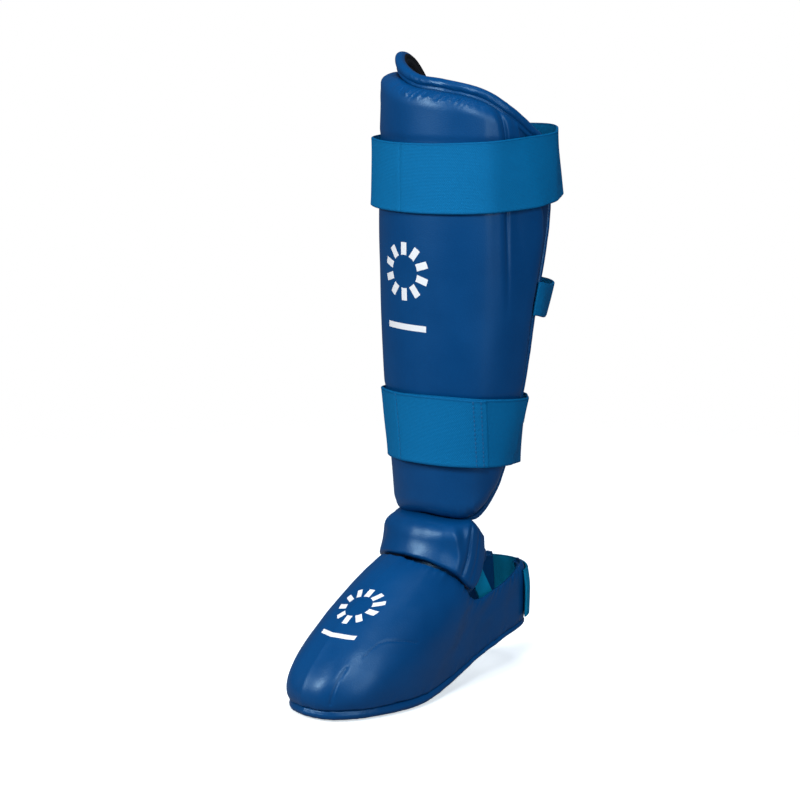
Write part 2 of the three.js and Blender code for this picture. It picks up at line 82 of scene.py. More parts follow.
def table(rows):
    """Reads between a table's rows along a smooth curve. The first column is what it is read by."""
    names = list(rows[0])
    at = np.array([row[names[0]] for row in rows], float)
    columns = {name: np.array([row[name] for row in rows], float) for name in names[1:]}
    last = len(at) - 1

    def read(where):
        where = np.clip(np.asarray(where, float), at[0], at[-1])
        i = np.clip(np.searchsorted(at, where, side="right") - 1, 0, last - 1)
        before = np.where(i > 0, i - 1, 1)
        after = np.where(i + 2 <= last, i + 2, last - 1)
        half = (at[i + 1] - at[i]) / 2
        pull_before = half / (at[i] - at[before])
        pull_after = half / (at[after] - at[i + 1])
        p = (where - at[i]) / (at[i + 1] - at[i])
        p2 = p * p
        p3 = p2 * p
        w_before = -pull_before * p3 + 2 * pull_before * p2 - pull_before * p
        w_here = (1 + pull_before) * p3 + (-1.5 - 2 * pull_before) * p2 + (pull_before - 0.5) * p + 1
        w_next = (-1 - pull_after) * p3 + (1.5 + pull_after) * p2 + 0.5 * p
        w_after = pull_after * p3 - pull_after * p2
        found = {}
        for name, values in columns.items():
            found[name] = (
                w_before * values[before]
                + w_here * values[i]
                + w_next * values[i + 1]
                + w_after * values[after]
            )
        return found

    return read


def rows_of(names, *lines):
    keys = names.split()
    return [dict(zip(keys, line)) for line in lines]


# The construction's tables

hollow = table(
    rows_of(
        "z width depth middle",
        (140, 36, 33, -14),
        (173, 39, 36, -13),
        (245, 49.5, 46.5, -7),
        (311, 55, 52, -3),
        (384, 59, 56, 0),
        (450, 58, 56, 0),
        (475, 56.5, 55.5, 0),
        (515, 56, 55, 0),
    )
)
leg = table(
    rows_of(
        "z width depth middle",
        (125, 33, 37, -2),
        (170, 33, 36, -1),
        (244, 37, 41, 3),
        (291, 44, 49, 9),
        (338, 51, 58, 14),
        (390, 54, 61, 16),
        (440, 53, 59, 11),
        (500, 54, 58, 6),
    )
)
reach = table(
    rows_of(
        "z backing pad",
        (141, 51, 47),
        (147, 61, 56),
        (157, 71, 66),
        (173, 82, 77),
        (245, 93, 87),
        (311, 97, 89),
        (384, 108, 93),
        (452, 108, 72),
        (515, 108, 67),
    )
)
collar = table(
    rows_of(
        "angle z",
        (-108, 440),
        (-99, 456),
        (-88, 480),
        (-75, 496),
        (-58, 501),
        (-40, 497),
        (-6, 488.5),
        (14, 486.5),
        (46, 478.5),
        (66, 465),
        (85, 449),
        (99, 439),
        (108, 430),
    )
)
hem = table(rows_of("angle z", (-57, 139.5), (-40, 137), (0, 142.5), (40, 141), (57, 143)))
instep = table(
    rows_of(
        "z width depth middle",
        (58, 36, 46, -32),
        (80, 35, 38, -32),
        (104, 34, 29, -32),
        (122, 32.5, 23, -32),
        (136, 31.5, 19, -32),
    )
)
tongue_edge = table(
    rows_of(
        "angle low high",
        (0, 95, 133),
        (30, 92, 133),
        (60, 82, 132),
        (70, 78, 130),
        (80, 84, 127),
        (91, 98, 116),
        (100, 103, 114),
        (104, 106, 112),
    )
)
instep_edge = table(
    rows_of(
        "angle low high",
        (0, 108, 137),
        (25, 105, 136),
        (50, 95, 135),
        (62, 86, 134),
        (70, 81, 132),
        (78, 88, 130),
        (84, 97, 128),
        (90, 109, 124),
    )
)
foot_face = table(
    rows_of(
        "at foot_x foot_y foot_z top_x top_y top_z bulge fill wall",
        (0, 0, -198, 9.5, 0, -74, 104, 21, 33, 7),
        (0.09, 21, -192, 9.5, 10, -73, 103, 19.5, 31, 7),
        (0.19, 37, -173, 9.5, 21, -68, 101, 14.5, 25, 7),
        (0.3, 47, -140, 9.5, 31, -58, 91, 9, 18, 7),
        (0.41, 48, -106, 10, 37.5, -50, 79, 5, 13, 6.5),
        (0.5, 44, -76, 15, 40.5, -42, 74, 3, 7, 6),
        (0.62, 41, -40, 27, 41, -21, 78, 1.5, 5, 5),
        (0.76, 40, -6, 37, 39, 2, 85, 1.5, 5, 5),
        (0.89, 34, 25, 42, 31, 23, 92, 1.5, 6, 5),
        (1, 15, 43, 42, 14, 38, 90, 1, 6, 5),
    )
)

GAP = 0.3
LINING = 1.2
BACKING = 4.5
PAD = 14.5
PAD_EDGE = 3
PAD_BASE = LINING + GAP + BACKING + 3 * GAP
ELASTIC = 2
UPPER_STRAP = {"low": 393, "high": 449, "end": -72, "overlap": 66}
UPPER_STRAP.update(tilt=4, toward=-20, puff=3.4, seam=-6)
LOWER_STRAP = {"low": 180.5, "high": 237.5, "end": 57, "overlap": 60}
LOWER_STRAP.update(tilt=7, toward=195, puff=0, seam=-11)

# Small mathematics


def smooth(x, low, high):
    t = np.clip((np.asarray(x, float) - low) / (high - low), 0, 1)
    return t * t * (3 - 2 * t)


def hump(x, middle, half_width):
    return np.exp(-(((np.asarray(x, float) - middle) / half_width) ** 2))


def lerp(a, b, share):
    return a + (b - a) * share


def rounded(distance, radius):
    return np.sqrt(np.clip(1 - (1 - np.clip(distance / radius, 0, 1)) ** 2, 0, 1))


def noise(x, y, seed):
    """Smooth noise from -1 to 1, with one hump to each unit of x and of y."""
    x, y = np.broadcast_arrays(np.asarray(x, float), np.asarray(y, float))
    grid = np.random.RandomState(seed).uniform(-1, 1, (128, 128))
    ix = np.floor(x).astype(int)
    iy = np.floor(y).astype(int)
    fx = x - ix
    fy = y - iy
    fx = fx * fx * (3 - 2 * fx)
    fy = fy * fy * (3 - 2 * fy)
    a = grid[ix % 128, iy % 128]
    b = grid[(ix + 1) % 128, iy % 128]
    c = grid[ix % 128, (iy + 1) % 128]
    d = grid[(ix + 1) % 128, (iy + 1) % 128]
    return lerp(lerp(a, b, fx), lerp(c, d, fx), fy)


def ridges(x, y, seed):
    """Noise with sharp crests, from -1 to 1."""
    return 1 - 2 * np.abs(noise(x, y, seed))


def line_distance(x, y, points):
    """How far each place is from a line through points, all in the same flat coordinates."""
    nearest = np.full(np.broadcast(x, y).shape, 1e9)
    for (ax, ay), (bx, by) in zip(points, points[1:]):
        length = math.hypot(bx - ax, by - ay)
        along = np.clip(((x - ax) * (bx - ax) + (y - ay) * (by - ay)) / length**2, 0, 1)
        away = np.hypot(x - ax - along * (bx - ax), y - ay - along * (by - ay))
        nearest = np.minimum(nearest, away)
    return nearest


def around(sleeve, degrees, z, out):
    """Points at a height and an angle from the front, some way out from a sleeve such as the hollow."""
    found = sleeve(z)
    turn = np.radians(degrees)
    x = (found["width"] + out) * np.sin(turn)
    y = found["middle"] - (found["depth"] + out) * np.cos(turn)
    return np.stack(np.broadcast_arrays(x, y, np.asarray(z, float)), axis=-1)


def spread(count, edge, near):
    """Shares from 0 to 1 that are closer together near both ends: edge of them within near of each."""
    ends = near * (1 - np.cos(np.linspace(0, math.pi / 2, edge, endpoint=False)))
    inside = np.linspace(near, 1 - near, count)
    return np.concatenate([ends, inside, (1 - ends)[::-1]])


def normals_of(points):
    """Unit normals of a grid of points."""
    rows = np.gradient(points, axis=0)
    columns = np.gradient(points, axis=1)
    found = np.cross(columns, rows)
    return found / np.maximum(np.linalg.norm(found, axis=-1, keepdims=True), 1e-9)


# Making meshes


def new_object(name, vertices, faces, uvs=None):
    """An object of these points in millimetres, with its faces turned outwards."""
    mesh = bpy.data.meshes.new(name)
    mesh.from_pydata([tuple(v) for v in np.asarray(vertices) * MM], [], faces)
    if uvs is not None:
        layer = mesh.uv_layers.new(name="surface")
        layer.data.foreach_set("uv", np.asarray(uvs, np.float32).ravel())
    mesh.validate()
    built = bmesh.new()
    built.from_mesh(mesh)
    if built.calc_volume(signed=True) < 0:
        bmesh.ops.reverse_faces(built, faces=built.faces)
    built.to_mesh(mesh)
    built.free()
    mesh.shade_smooth()
    made = bpy.data.objects.new(name, mesh)
    bpy.context.scene.collection.objects.link(made)
    return made


def tube(name, rings, uvs, flat_ends=False):
    """A closed mesh through rings[ring][side] of points. uvs[ring][side] has one side more than the rings."""
    count, sides = rings.shape[:2]
    faces = []
    face_uvs = []
    for i in range(count - 1):
        j = i + 1
        for a in range(sides):
            b = (a + 1) % sides
            faces.append((i * sides + a, i * sides + b, j * sides + b, j * sides + a))
            face_uvs += [uvs[i, a], uvs[i, a + 1], uvs[i + 1, a + 1], uvs[i + 1, a]]
    if flat_ends:
        ends = [(r, r + 1, sides - 2 - r, sides - 1 - r) for r in range(sides // 2 - 1)]
    else:
        ends = [tuple(range(sides))]
    base = (count - 1) * sides
    for end in ends:
        faces.append(end[::-1])
        face_uvs += [uvs[0, a] for a in end[::-1]]
        faces.append(tuple(base + a for a in end))
        face_uvs += [uvs[count - 1, a] for a in end]
    return new_object(name, rings.reshape(-1, 3), faces, face_uvs)


def shell(name, outer, inner, uv):
    """A closed mesh between an outer and an inner grid of points, [row][column]. Its uv follows the outer grid."""
    ring = np.concatenate([outer, inner[::-1]], axis=0)
    ring_uv = np.concatenate([uv, uv[::-1], uv[:1]], axis=0)
    return tube(name, ring.transpose(1, 0, 2), ring_uv.transpose(1, 0, 2), flat_ends=True)


def lengths_along(points):
    """How far each point of a line is along it."""
    steps = np.linalg.norm(np.diff(points, axis=0), axis=-1)
    return np.concatenate([[0], np.cumsum(steps)])


def resampled(points, count):
    """The same line through evenly spaced points."""
    at = lengths_along(points)
    where = np.linspace(0, at[-1], count)
    return np.stack([np.interp(where, at, points[:, k]) for k in range(3)], axis=-1)


def unit(vectors):
    return vectors / np.maximum(np.linalg.norm(vectors, axis=-1, keepdims=True), 1e-9)


def edge_roll(name, edge, outwards, off, section, count, sides=28):
    """A roll along an edge. The section gives its half widths, out from the edge and away from it."""
    path = resampled(edge, count)
    along = unit(np.gradient(path, axis=0))
    out = outwards(path)
    away = unit(np.cross(out, along))
    share = np.linspace(0, 1, count)[:, None]
    turn = np.linspace(0, 2 * math.pi, sides, endpoint=False)[None, :]
    wide, high = section(share, turn, lengths_along(path)[:, None])
    centre = path + away * off(share)
    rings = centre[:, None, :] + out[:, None, :] * wide[..., None] + away[:, None, :] * high[..., None]
    u = lengths_along(path)[:, None] * MM + np.zeros((1, sides + 1))
    v = np.linspace(0, 0.03, sides + 1)[None, :] + np.zeros((count, 1))
    return tube(name, rings, np.stack([u, v], axis=-1))


def stitches(name, points, outwards, length=2.6, pitch=3.6, thick=0.32, lift=0.05):
    """A row of thread stitches that follows a line of points, each a slim raised loop of thread."""
    total = lengths_along(points)[-1]
    count = max(int(total / pitch), 1)
    at = lengths_along(points)
    vertices = []
    faces = []
    for i in range(count):
        middle = (i + 0.5) * total / count
        spots = []
        for share in (-0.5, -0.3, 0, 0.3, 0.5):
            where = middle + share * length
            spot = np.array([np.interp(where, at, points[:, k]) for k in range(3)])
            out = np.array([np.interp(where, at, outwards[:, k]) for k in range(3)])
            rise = lift + thick * (0.75 - 4.2 * share * share)
            spots.append((spot + out * rise, out))
        along = unit(spots[-1][0] - spots[0][0])
        base = len(vertices)
        for k, (spot, out) in enumerate(spots):
            side = np.cross(out, along)
            size = thick * (0.35 if k in (0, 4) else 1)
            for turn in np.linspace(0, 2 * math.pi, 6, endpoint=False):
                vertices.append(spot + side * size * math.cos(turn) + out * size * 0.7 * math.sin(turn))
        for k in range(4):
            for a in range(6):
                b = (a + 1) % 6
                low = base + k * 6
                faces.append((low + a, low + b, low + 6 + b, low + 6 + a))
        faces.append(tuple(base + a for a in range(5, -1, -1)))
        faces.append(tuple(base + 24 + a for a in range(6)))
    return new_object(name, np.array(vertices), faces)


# Shader node groups


def new_group(name, inputs, outputs):
    group = bpy.data.node_groups.new(name, "ShaderNodeTree")
    for label, kind, value in inputs:
        socket = group.interface.new_socket(label, in_out="INPUT", socket_type=kind)
        if value is not None:
            socket.default_value = value
    for label, kind in outputs:
        group.interface.new_socket(label, in_out="OUTPUT", socket_type=kind)
    nodes = group.nodes
    return group, nodes.new("NodeGroupInput"), nodes.new("NodeGroupOutput")


def link(tree, output, socket):
    tree.links.new(output, socket)


def maths(tree, operation, a, b=None, c=None):
    node = tree.nodes.new("ShaderNodeMath")
    node.operation = operation
    for i, value in enumerate((a, b, c)):
        if value is None:
            continue
        if isinstance(value, (int, float)):
            node.inputs[i].default_value = value
        else:
            link(tree, value, node.inputs[i])
    return node.outputs[0]


def remap(tree, value, low, high, to_low, to_high):
    node = tree.nodes.new("ShaderNodeMapRange")
    node.inputs["From Min"].default_value = low
    node.inputs["From Max"].default_value = high
    node.inputs["To Min"].default_value = to_low
    node.inputs["To Max"].default_value = to_high
    link(tree, value, node.inputs["Value"])
    return node.outputs["Result"]


def leather_group():
    """The grain of coated cloth: small pebbles, fine pores and slow changes of gloss."""
    inputs = [
        ("Position", "NodeSocketVector", None),
        ("Pebbles per metre", "NodeSocketFloat", 900.0),
        ("Seed", "NodeSocketFloat", 0.0),
    ]
    outputs = [("Height", "NodeSocketFloat"), ("Gloss", "NodeSocketFloat"), ("Shade", "NodeSocketFloat")]
    group, start, end = new_group("leather_grain", inputs, outputs)
    pebble = group.nodes.new("ShaderNodeTexVoronoi")
    pebble.feature = "SMOOTH_F1"
    pebble.inputs["Smoothness"].default_value = 0.6
    link(group, start.outputs["Position"], pebble.inputs["Vector"])
    link(group, start.outputs["Pebbles per metre"], pebble.inputs["Scale"])
    fine = group.nodes.new("ShaderNodeTexNoise")
    fine.inputs["Scale"].default_value = 1600
    fine.inputs["Detail"].default_value = 2
    link(group, start.outputs["Position"], fine.inputs["Vector"])
    slow = group.nodes.new("ShaderNodeTexNoise")
    slow.noise_dimensions = "4D"
    slow.inputs["Scale"].default_value = 22
    slow.inputs["Detail"].default_value = 3
    link(group, start.outputs["Position"], slow.inputs["Vector"])
    link(group, start.outputs["Seed"], slow.inputs["W"])
    pore = maths(group, "MULTIPLY", fine.outputs["Fac"], 0.45)
    height = maths(group, "ADD", pebble.outputs["Distance"], pore)
    link(group, height, end.inputs["Height"])
    link(group, remap(group, slow.outputs["Fac"], 0.3, 0.7, 0.0, 1.0), end.inputs["Gloss"])
    shade = maths(group, "MULTIPLY_ADD", pebble.outputs["Distance"], 0.25, slow.outputs["Fac"])
    link(group, remap(group, shade, 0.35, 0.85, 0.0, 1.0), end.inputs["Shade"])
    return group


def elastic_group():
    """Woven elastic: fine ribs across the band, rubber threads along it and a tighter woven edge."""
    inputs = [
        ("Surface", "NodeSocketVector", None),
        ("Rib pitch", "NodeSocketFloat", 0.0016),
        ("Thread pitch", "NodeSocketFloat", 0.0011),
        ("Width", "NodeSocketFloat", 0.056),
    ]
    outputs = [("Height", "NodeSocketFloat"), ("Shade", "NodeSocketFloat"), ("Edge", "NodeSocketFloat")]
    group, start, end = new_group("elastic_weave", inputs, outputs)
    parts = group.nodes.new("ShaderNodeSeparateXYZ")
    link(group, start.outputs["Surface"], parts.inputs[0])
    across = maths(group, "DIVIDE", parts.outputs["Y"], start.outputs["Thread pitch"])
    along = maths(group, "DIVIDE", parts.outputs["X"], start.outputs["Rib pitch"])
    row = maths(group, "FLOOR", across)
    shift = maths(group, "MULTIPLY", maths(group, "MODULO", row, 2.0), 0.5)
    rib = maths(group, "SINE", maths(group, "MULTIPLY", maths(group, "ADD", along, shift), 2 * math.pi))
    thread = maths(group, "ABSOLUTE", maths(group, "SINE", maths(group, "MULTIPLY", across, math.pi)))
    height = maths(group, "ADD", maths(group, "MULTIPLY", rib, 0.35), maths(group, "MULTIPLY", thread, 0.65))
    link(group, height, end.inputs["Height"])
    fuzz = group.nodes.new("ShaderNodeTexNoise")
    fuzz.inputs["Scale"].default_value = 1300
    fuzz.inputs["Detail"].default_value = 3
    link(group, start.outputs["Surface"], fuzz.inputs["Vector"])
    shade = maths(group, "MULTIPLY_ADD", height, 0.35, fuzz.outputs["Fac"])
    link(group, remap(group, shade, 0.25, 0.95, 0.0, 1.0), end.inputs["Shade"])
    from_edge = maths(group, "ABSOLUTE", maths(group, "DIVIDE", parts.outputs["Y"], start.outputs["Width"]))
    link(group, remap(group, from_edge, 0.455, 0.475, 0.0, 1.0), end.inputs["Edge"])
    return group


def motif_group():
    """A plain round motif: short strokes set in a ring, with a bar below. Lengths in metres on the surface."""
    inputs = [
        ("Surface", "NodeSocketVector", None),
        ("Middle X", "NodeSocketFloat", 0.0),
        ("Middle Y", "NodeSocketFloat", 0.0),
        ("Size", "NodeSocketFloat", 1.0),
        ("Bar drop", "NodeSocketFloat", 0.0315),
    ]
    group, start, end = new_group("round_motif", inputs, [("Mask", "NodeSocketFloat")])
    parts = group.nodes.new("ShaderNodeSeparateXYZ")
    link(group, start.outputs["Surface"], parts.inputs[0])
    x = maths(group, "SUBTRACT", parts.outputs["X"], start.outputs["Middle X"])
    y = maths(group, "SUBTRACT", parts.outputs["Y"], start.outputs["Middle Y"])
    x = maths(group, "DIVIDE", x, start.outputs["Size"])
    y = maths(group, "DIVIDE", y, start.outputs["Size"])
    radius = maths(group, "SQRT", maths(group, "ADD", maths(group, "MULTIPLY", x, x), maths(group, "MULTIPLY", y, y)))
    turn = maths(group, "MULTIPLY", maths(group, "ARCTAN2", y, x), 10 / (2 * math.pi))
    part = maths(group, "SUBTRACT", maths(group, "FRACT", turn), 0.5)
    sideways = maths(group, "ABSOLUTE", maths(group, "MULTIPLY", maths(group, "MULTIPLY", part, radius), 0.628))
    stroke = maths(group, "LESS_THAN", sideways, 0.0026)
    ring = maths(group, "COMPARE", radius, 0.0165, 0.0045)
    strokes = maths(group, "MULTIPLY", stroke, ring)
    low = maths(group, "COMPARE", maths(group, "ADD", y, start.outputs["Bar drop"]), 0.0, 0.0022)
    short = maths(group, "COMPARE", x, 0.0, 0.0185)
    bar = maths(group, "MULTIPLY", low, short)
    link(group, maths(group, "MAXIMUM", strokes, bar), end.inputs["Mask"])
    return group


LEATHER_GRAIN = leather_group()
ELASTIC_WEAVE = elastic_group()
ROUND_MOTIF = motif_group()


def new_material(name):
    material = bpy.data.materials.new(name)
    material.use_nodes = True
    return material, material.node_tree, material.node_tree.nodes["Principled BSDF"]


def placed(tree, group, values):
    node = tree.nodes.new("ShaderNodeGroup")
    node.node_tree = group
    for label, value in values.items():
        if isinstance(value, (int, float)):
            node.inputs[label].default_value = value
        else:
            link(tree, value, node.inputs[label])
    return node


def mixed(tree, share, first, second):
    """A colour between two, each a colour or another node's output."""
    node = tree.nodes.new("ShaderNodeMix")
    node.data_type = "RGBA"
    link(tree, share, node.inputs["Factor"])
    for socket, value in ((node.inputs["A"], first), (node.inputs["B"], second)):
        if isinstance(value, tuple):
            socket.default_value = (*value, 1)
        else:
            link(tree, value, socket)
    return node.outputs["Result"]


def bumped(tree, height, distance, strength):
    node = tree.nodes.new("ShaderNodeBump")
    node.inputs["Distance"].default_value = distance
    node.inputs["Strength"].default_value = strength
    link(tree, height, node.inputs["Height"])
    return node.outputs["Normal"]


def leather(name, dark, light, seed, motif=None, rough=(0.34, 0.44)):
    """Coated cloth with a fine grain. A motif gives the middle of one print on the surface, its size and how far its
    bar drops.
    """
    material, tree, shader = new_material(name)
    place = tree.nodes.new("ShaderNodeTexCoord")
    grain = placed(tree, LEATHER_GRAIN, {"Position": place.outputs["Object"], "Seed": seed})
    color = mixed(tree, grain.outputs["Shade"], dark, light)
    roughness = remap(tree, grain.outputs["Gloss"], 0.0, 1.0, rough[0], rough[1])
    if motif:
        values = dict(zip(("Middle X", "Middle Y", "Size", "Bar drop"), motif))
        print_mask = placed(tree, ROUND_MOTIF, {"Surface": place.outputs["UV"], **values}).outputs["Mask"]
        color = mixed(tree, print_mask, color, (0.78, 0.8, 0.82))
        roughness = maths(tree, "MULTIPLY_ADD", print_mask, 0.12, roughness)
    link(tree, color, shader.inputs["Base Color"])
    link(tree, roughness, shader.inputs["Roughness"])
    link(tree, bumped(tree, grain.outputs["Height"], 0.00012, 0.55), shader.inputs["Normal"])
    shader.inputs["Specular IOR Level"].default_value = 0.4
    shader.inputs["Specular Tint"].default_value = (0.42, 0.76, 1, 1)
    shader.inputs["Coat Weight"].default_value = 0.06
    shader.inputs["Coat Roughness"].default_value = 0.28
    return material


def elastic(name, dark, light, width):
    material, tree, shader = new_material(name)
    place = tree.nodes.new("ShaderNodeTexCoord")
    weave = placed(tree, ELASTIC_WEAVE, {"Surface": place.outputs["UV"], "Width": width})
    color = mixed(tree, weave.outputs["Shade"], dark, light)
    edge = tuple(value * 0.86 for value in dark)
    link(tree, mixed(tree, weave.outputs["Edge"], color, edge), shader.inputs["Base Color"])
    link(tree, bumped(tree, weave.outputs["Height"], 0.00022, 0.7), shader.inputs["Normal"])
    link(tree, remap(tree, weave.outputs["Shade"], 0.0, 1.0, 0.82, 0.66), shader.inputs["Roughness"])
    shader.inputs["Specular IOR Level"].default_value = 0.1
    return material


def thread(name, color):
    material, tree, shader = new_material(name)
    place = tree.nodes.new("ShaderNodeTexCoord")
    twist = tree.nodes.new("ShaderNodeTexNoise")
    twist.inputs["Scale"].default_value = 2500
    link(tree, place.outputs["Object"], twist.inputs["Vector"])
    dark = tuple(value * 0.6 for value in color)
    link(tree, mixed(tree, twist.outputs["Fac"], dark, color), shader.inputs["Base Color"])
    link(tree, remap(tree, twist.outputs["Fac"], 0.2, 0.8, 0.5, 0.7), shader.inputs["Roughness"])
    return material


BLUE_DARK = (0.0003, 0.041, 0.148)
BLUE_LIGHT = (0.0004, 0.052, 0.182)
DEEP_DARK = (0.0005, 0.031, 0.112)
DEEP_LIGHT = (0.0006, 0.038, 0.138)

pad_leather = leather("pad_leather", BLUE_DARK, BLUE_LIGHT, 1.0, motif=(-0.007, 0.342, 1.12, 0.040))
wing_leather = leather("wing_leather", DEEP_DARK, DEEP_LIGHT, 2.0, rough=(0.36, 0.46))
trim_leather = leather("trim_leather", BLUE_DARK, BLUE_LIGHT, 3.0, rough=(0.3, 0.4))
FOOT_MOTIF = (0.004, 0.097, 0.92, 0.034)
foot_leather = leather("foot_leather", BLUE_DARK, BLUE_LIGHT, 4.0, motif=FOOT_MOTIF, rough=(0.31, 0.41))
bright_elastic = elastic("bright_elastic", (0.0, 0.112, 0.29), (0.001, 0.15, 0.36), 0.057)
narrow_elastic = elastic("narrow_elastic", (0.0, 0.112, 0.29), (0.001, 0.15, 0.36), 0.030)
teal_elastic = elastic("teal_elastic", (0.0, 0.17, 0.33), (0.001, 0.23, 0.42), 0.04)
pale_elastic = elastic("pale_elastic", (0.55, 0.55, 0.53), (0.7, 0.7, 0.68), 0.028)
black_cloth = elastic("black_cloth", (0.006, 0.006, 0.007), (0.016, 0.016, 0.018), 4.0)
blue_thread = thread("blue_thread", (0.006, 0.08, 0.24))
bright_thread = thread("bright_thread", (0.004, 0.12, 0.32))


def finish_piece(made, node, material):
    """Gives a piece its material and sets it on the frame in place of a node."""
    made.data.materials.append(material)
    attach(made, "root")
    if node:
        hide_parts(node)
    return made


# Shin guard


def shin_spot(across, up, part):
    """The angle and height at a share across the shin guard and a share up it."""
    low = float(hem(0)["z"])
    high = float(collar(0)["z"])
    z = lerp(low, high, up) + 0 * across
    for _ in range(4):
        degrees = lerp(-1, 1, across) * reach(z)[part]
        z = lerp(hem(degrees)["z"], collar(degrees)["z"], up)
    return degrees, z


def strap_press(z):
    """How far the straps press the pad in, by height."""
    upper = smooth(z, 390, 396) * (1 - smooth(z, 446, 452))
    lower = smooth(z, 183, 189) * (1 - smooth(z, 240, 246))
    return 0.7 * (upper + lower)


def pad_thickness(degrees, z):
    """The pad's full thickness, which falls towards the sides of the leg."""
    thin = lerp(88, 70, smooth(z, 300, 390))
    return PAD * lerp(1, 0.42, smooth(np.abs(degrees), 46, thin))


side_crease = table(
    rows_of(
        "z angle depth",
        (300, 64, 0),
        (330, 63, 0.7),
        (362, 61.5, 1.5),
        (392, 60.5, 2.2),
        (450, 60, 2.8),
        (468, 57, 2.6),
        (484, 50, 0),
    )
)


def make_shin_pad():
    up = spread(230, 16, 0.03)[:, None]
    across = spread(190, 12, 0.04)[None, :]
    degrees = shin_spot(across, up, "pad")[0]
    inner_side = smooth(-degrees, 26, 54)
    top = collar(degrees)["z"] - 1.1 - 3.2 * inner_side
    bottom = hem(degrees)["z"]
    height = lerp(bottom, top, up)
    width = hollow(height)["width"]
    arc = np.radians(degrees) * (width + PAD_BASE + 8)
    from_side = (1 - np.abs(lerp(-1, 1, across))) * np.radians(reach(height)["pad"]) * (width + PAD_BASE)
    from_top = top - height
    from_foot = height - bottom
    full = rounded(from_side, 11) * rounded(from_top, lerp(13, 5, inner_side)) * rounded(from_foot, 14)
    out = lerp(PAD_EDGE, pad_thickness(degrees, height), full)
    crease = side_crease(height)
    off_crease = (np.abs(degrees) - crease["angle"]) * math.pi / 180 * (width + PAD_BASE + 8)
    out = out - crease["depth"] * hump(off_crease, 0, 2.0)
    out = out + 0.45 * crease["depth"] * hump(off_crease, -5, 4.0)
    beyond = smooth(off_crease, 1, 7) * smooth(height, 440, 458)
    out = out + 1.3 * beyond * ridges(off_crease / 6.5, height / 34, 10) * rounded(from_side, 6)
    crumple = ridges(arc / 4.2 + from_top / 6, from_top / 20, 11)
    crumple = crumple + 0.7 * ridges(arc / 2.3 - from_top / 7, from_top / 12, 12)
    most = smooth(degrees, -26, -8) * (1 - smooth(degrees, 26, 52))
    out = out + 1.1 * crumple * hump(from_top, 2.5, 3.4) * (0.15 + most)
    out = out + 0.45 * noise(height / 9, arc / 30, 13) * hump(from_side, 0, 6)
    corner = hump(from_side, 6, 14) * hump(from_foot, 4, 9)
    out = out + 0.9 * corner * ridges(arc / 6, height / 14, 14)
    out = out + 0.6 * noise(arc / 46, height / 70, 15) * full
    out = out + 0.2 * noise(arc / 19, height / 38, 16) * full
    out = out - strap_press(height) * full
    outer = around(hollow, degrees, height, PAD_BASE + np.maximum(out, 0.8))
    inner = around(hollow, degrees, height, PAD_BASE + 0 * out)
    uv = np.stack([arc * MM, height * MM], axis=-1)
    return finish_piece(shell("shin_pad_cover", outer, inner, uv), "shin_pad", pad_leather)


def make_backing():
    up = spread(200, 6, 0.01)[:, None]
    across = spread(150, 6, 0.01)[None, :]
    degrees = shin_spot(across, up, "backing")[0]
    top = collar(degrees)["z"]
    bottom = hem(degrees)["z"]
    height = lerp(bottom, top, up)
    arc = np.radians(degrees) * (hollow(height)["width"] + 5)
    side = (reach(height)["backing"] - np.abs(degrees)) * math.pi / 180 * 64
    out = LINING + GAP + BACKING * (0.35 + 0.65 * rounded(np.minimum(side, top - height), 3.5))
    on_wing = smooth(np.abs(degrees), 71, 82)
    folds = noise(arc / 5.5, (top - height) / 40, 21) * hump(top - height, 0, 22)
    out = out + 0.9 * folds * on_wing
    out = out + 0.5 * on_wing * noise(height / 13, arc / 22, 22) * hump(side, 0, 8)
    out = out + 0.35 * on_wing * noise(height / 40, arc / 18, 23)
    outer = around(hollow, degrees, height, out)
    inner = around(hollow, degrees, height, LINING + GAP + 0 * out)
    uv = np.stack([arc * MM, height * MM], axis=-1)
    return finish_piece(shell("shin_backing_cover", outer, inner, uv), "shin_backing", wing_leather)


def make_lining():
    up = spread(90, 3, 0.01)[:, None]
    across = spread(80, 3, 0.01)[None, :]
    degrees = shin_spot(across, up, "backing")[0]
    height = lerp(hem(degrees)["z"], collar(degrees)["z"], up)
    arc = np.radians(degrees) * hollow(height)["width"]
    soft = 0.3 * noise(arc / 24, height / 30, 31)
    outer = around(hollow, degrees, height, LINING + 0 * arc)
    inner = around(hollow, degrees, height, np.minimum(soft, 0.3))
    uv = np.stack([arc * MM, height * MM], axis=-1)
    return finish_piece(shell("shin_lining_cloth", outer, inner, uv), "shin_lining", black_cloth)


def from_leg_middle(path):
    out = path.copy()
    out[:, 1] -= hollow(path[:, 2])["middle"]
    out[:, 2] = 0
    return unit(out)


COLLAR_OUT = LINING + GAP + BACKING / 2


def collar_line(count=400, low=-104, high=104):
    degrees = np.linspace(low, high, count)
    return around(hollow, degrees, collar(degrees)["z"], COLLAR_OUT + 0 * degrees)


def lobed(turn, lobes):
    """How far out a section of two round lobes reaches, by turn."""
    reach_out = np.zeros(np.broadcast(turn, lobes[0][0]).shape)
    for out, up, radius in lobes:
        along = out * np.cos(turn) + up * np.sin(turn)
        inside = radius * radius - out * out - up * up + along * along
        hit = along + np.sqrt(np.maximum(inside, 0))
        reach_out = np.maximum(reach_out, np.where(inside > 0, hit, 0))
    return reach_out


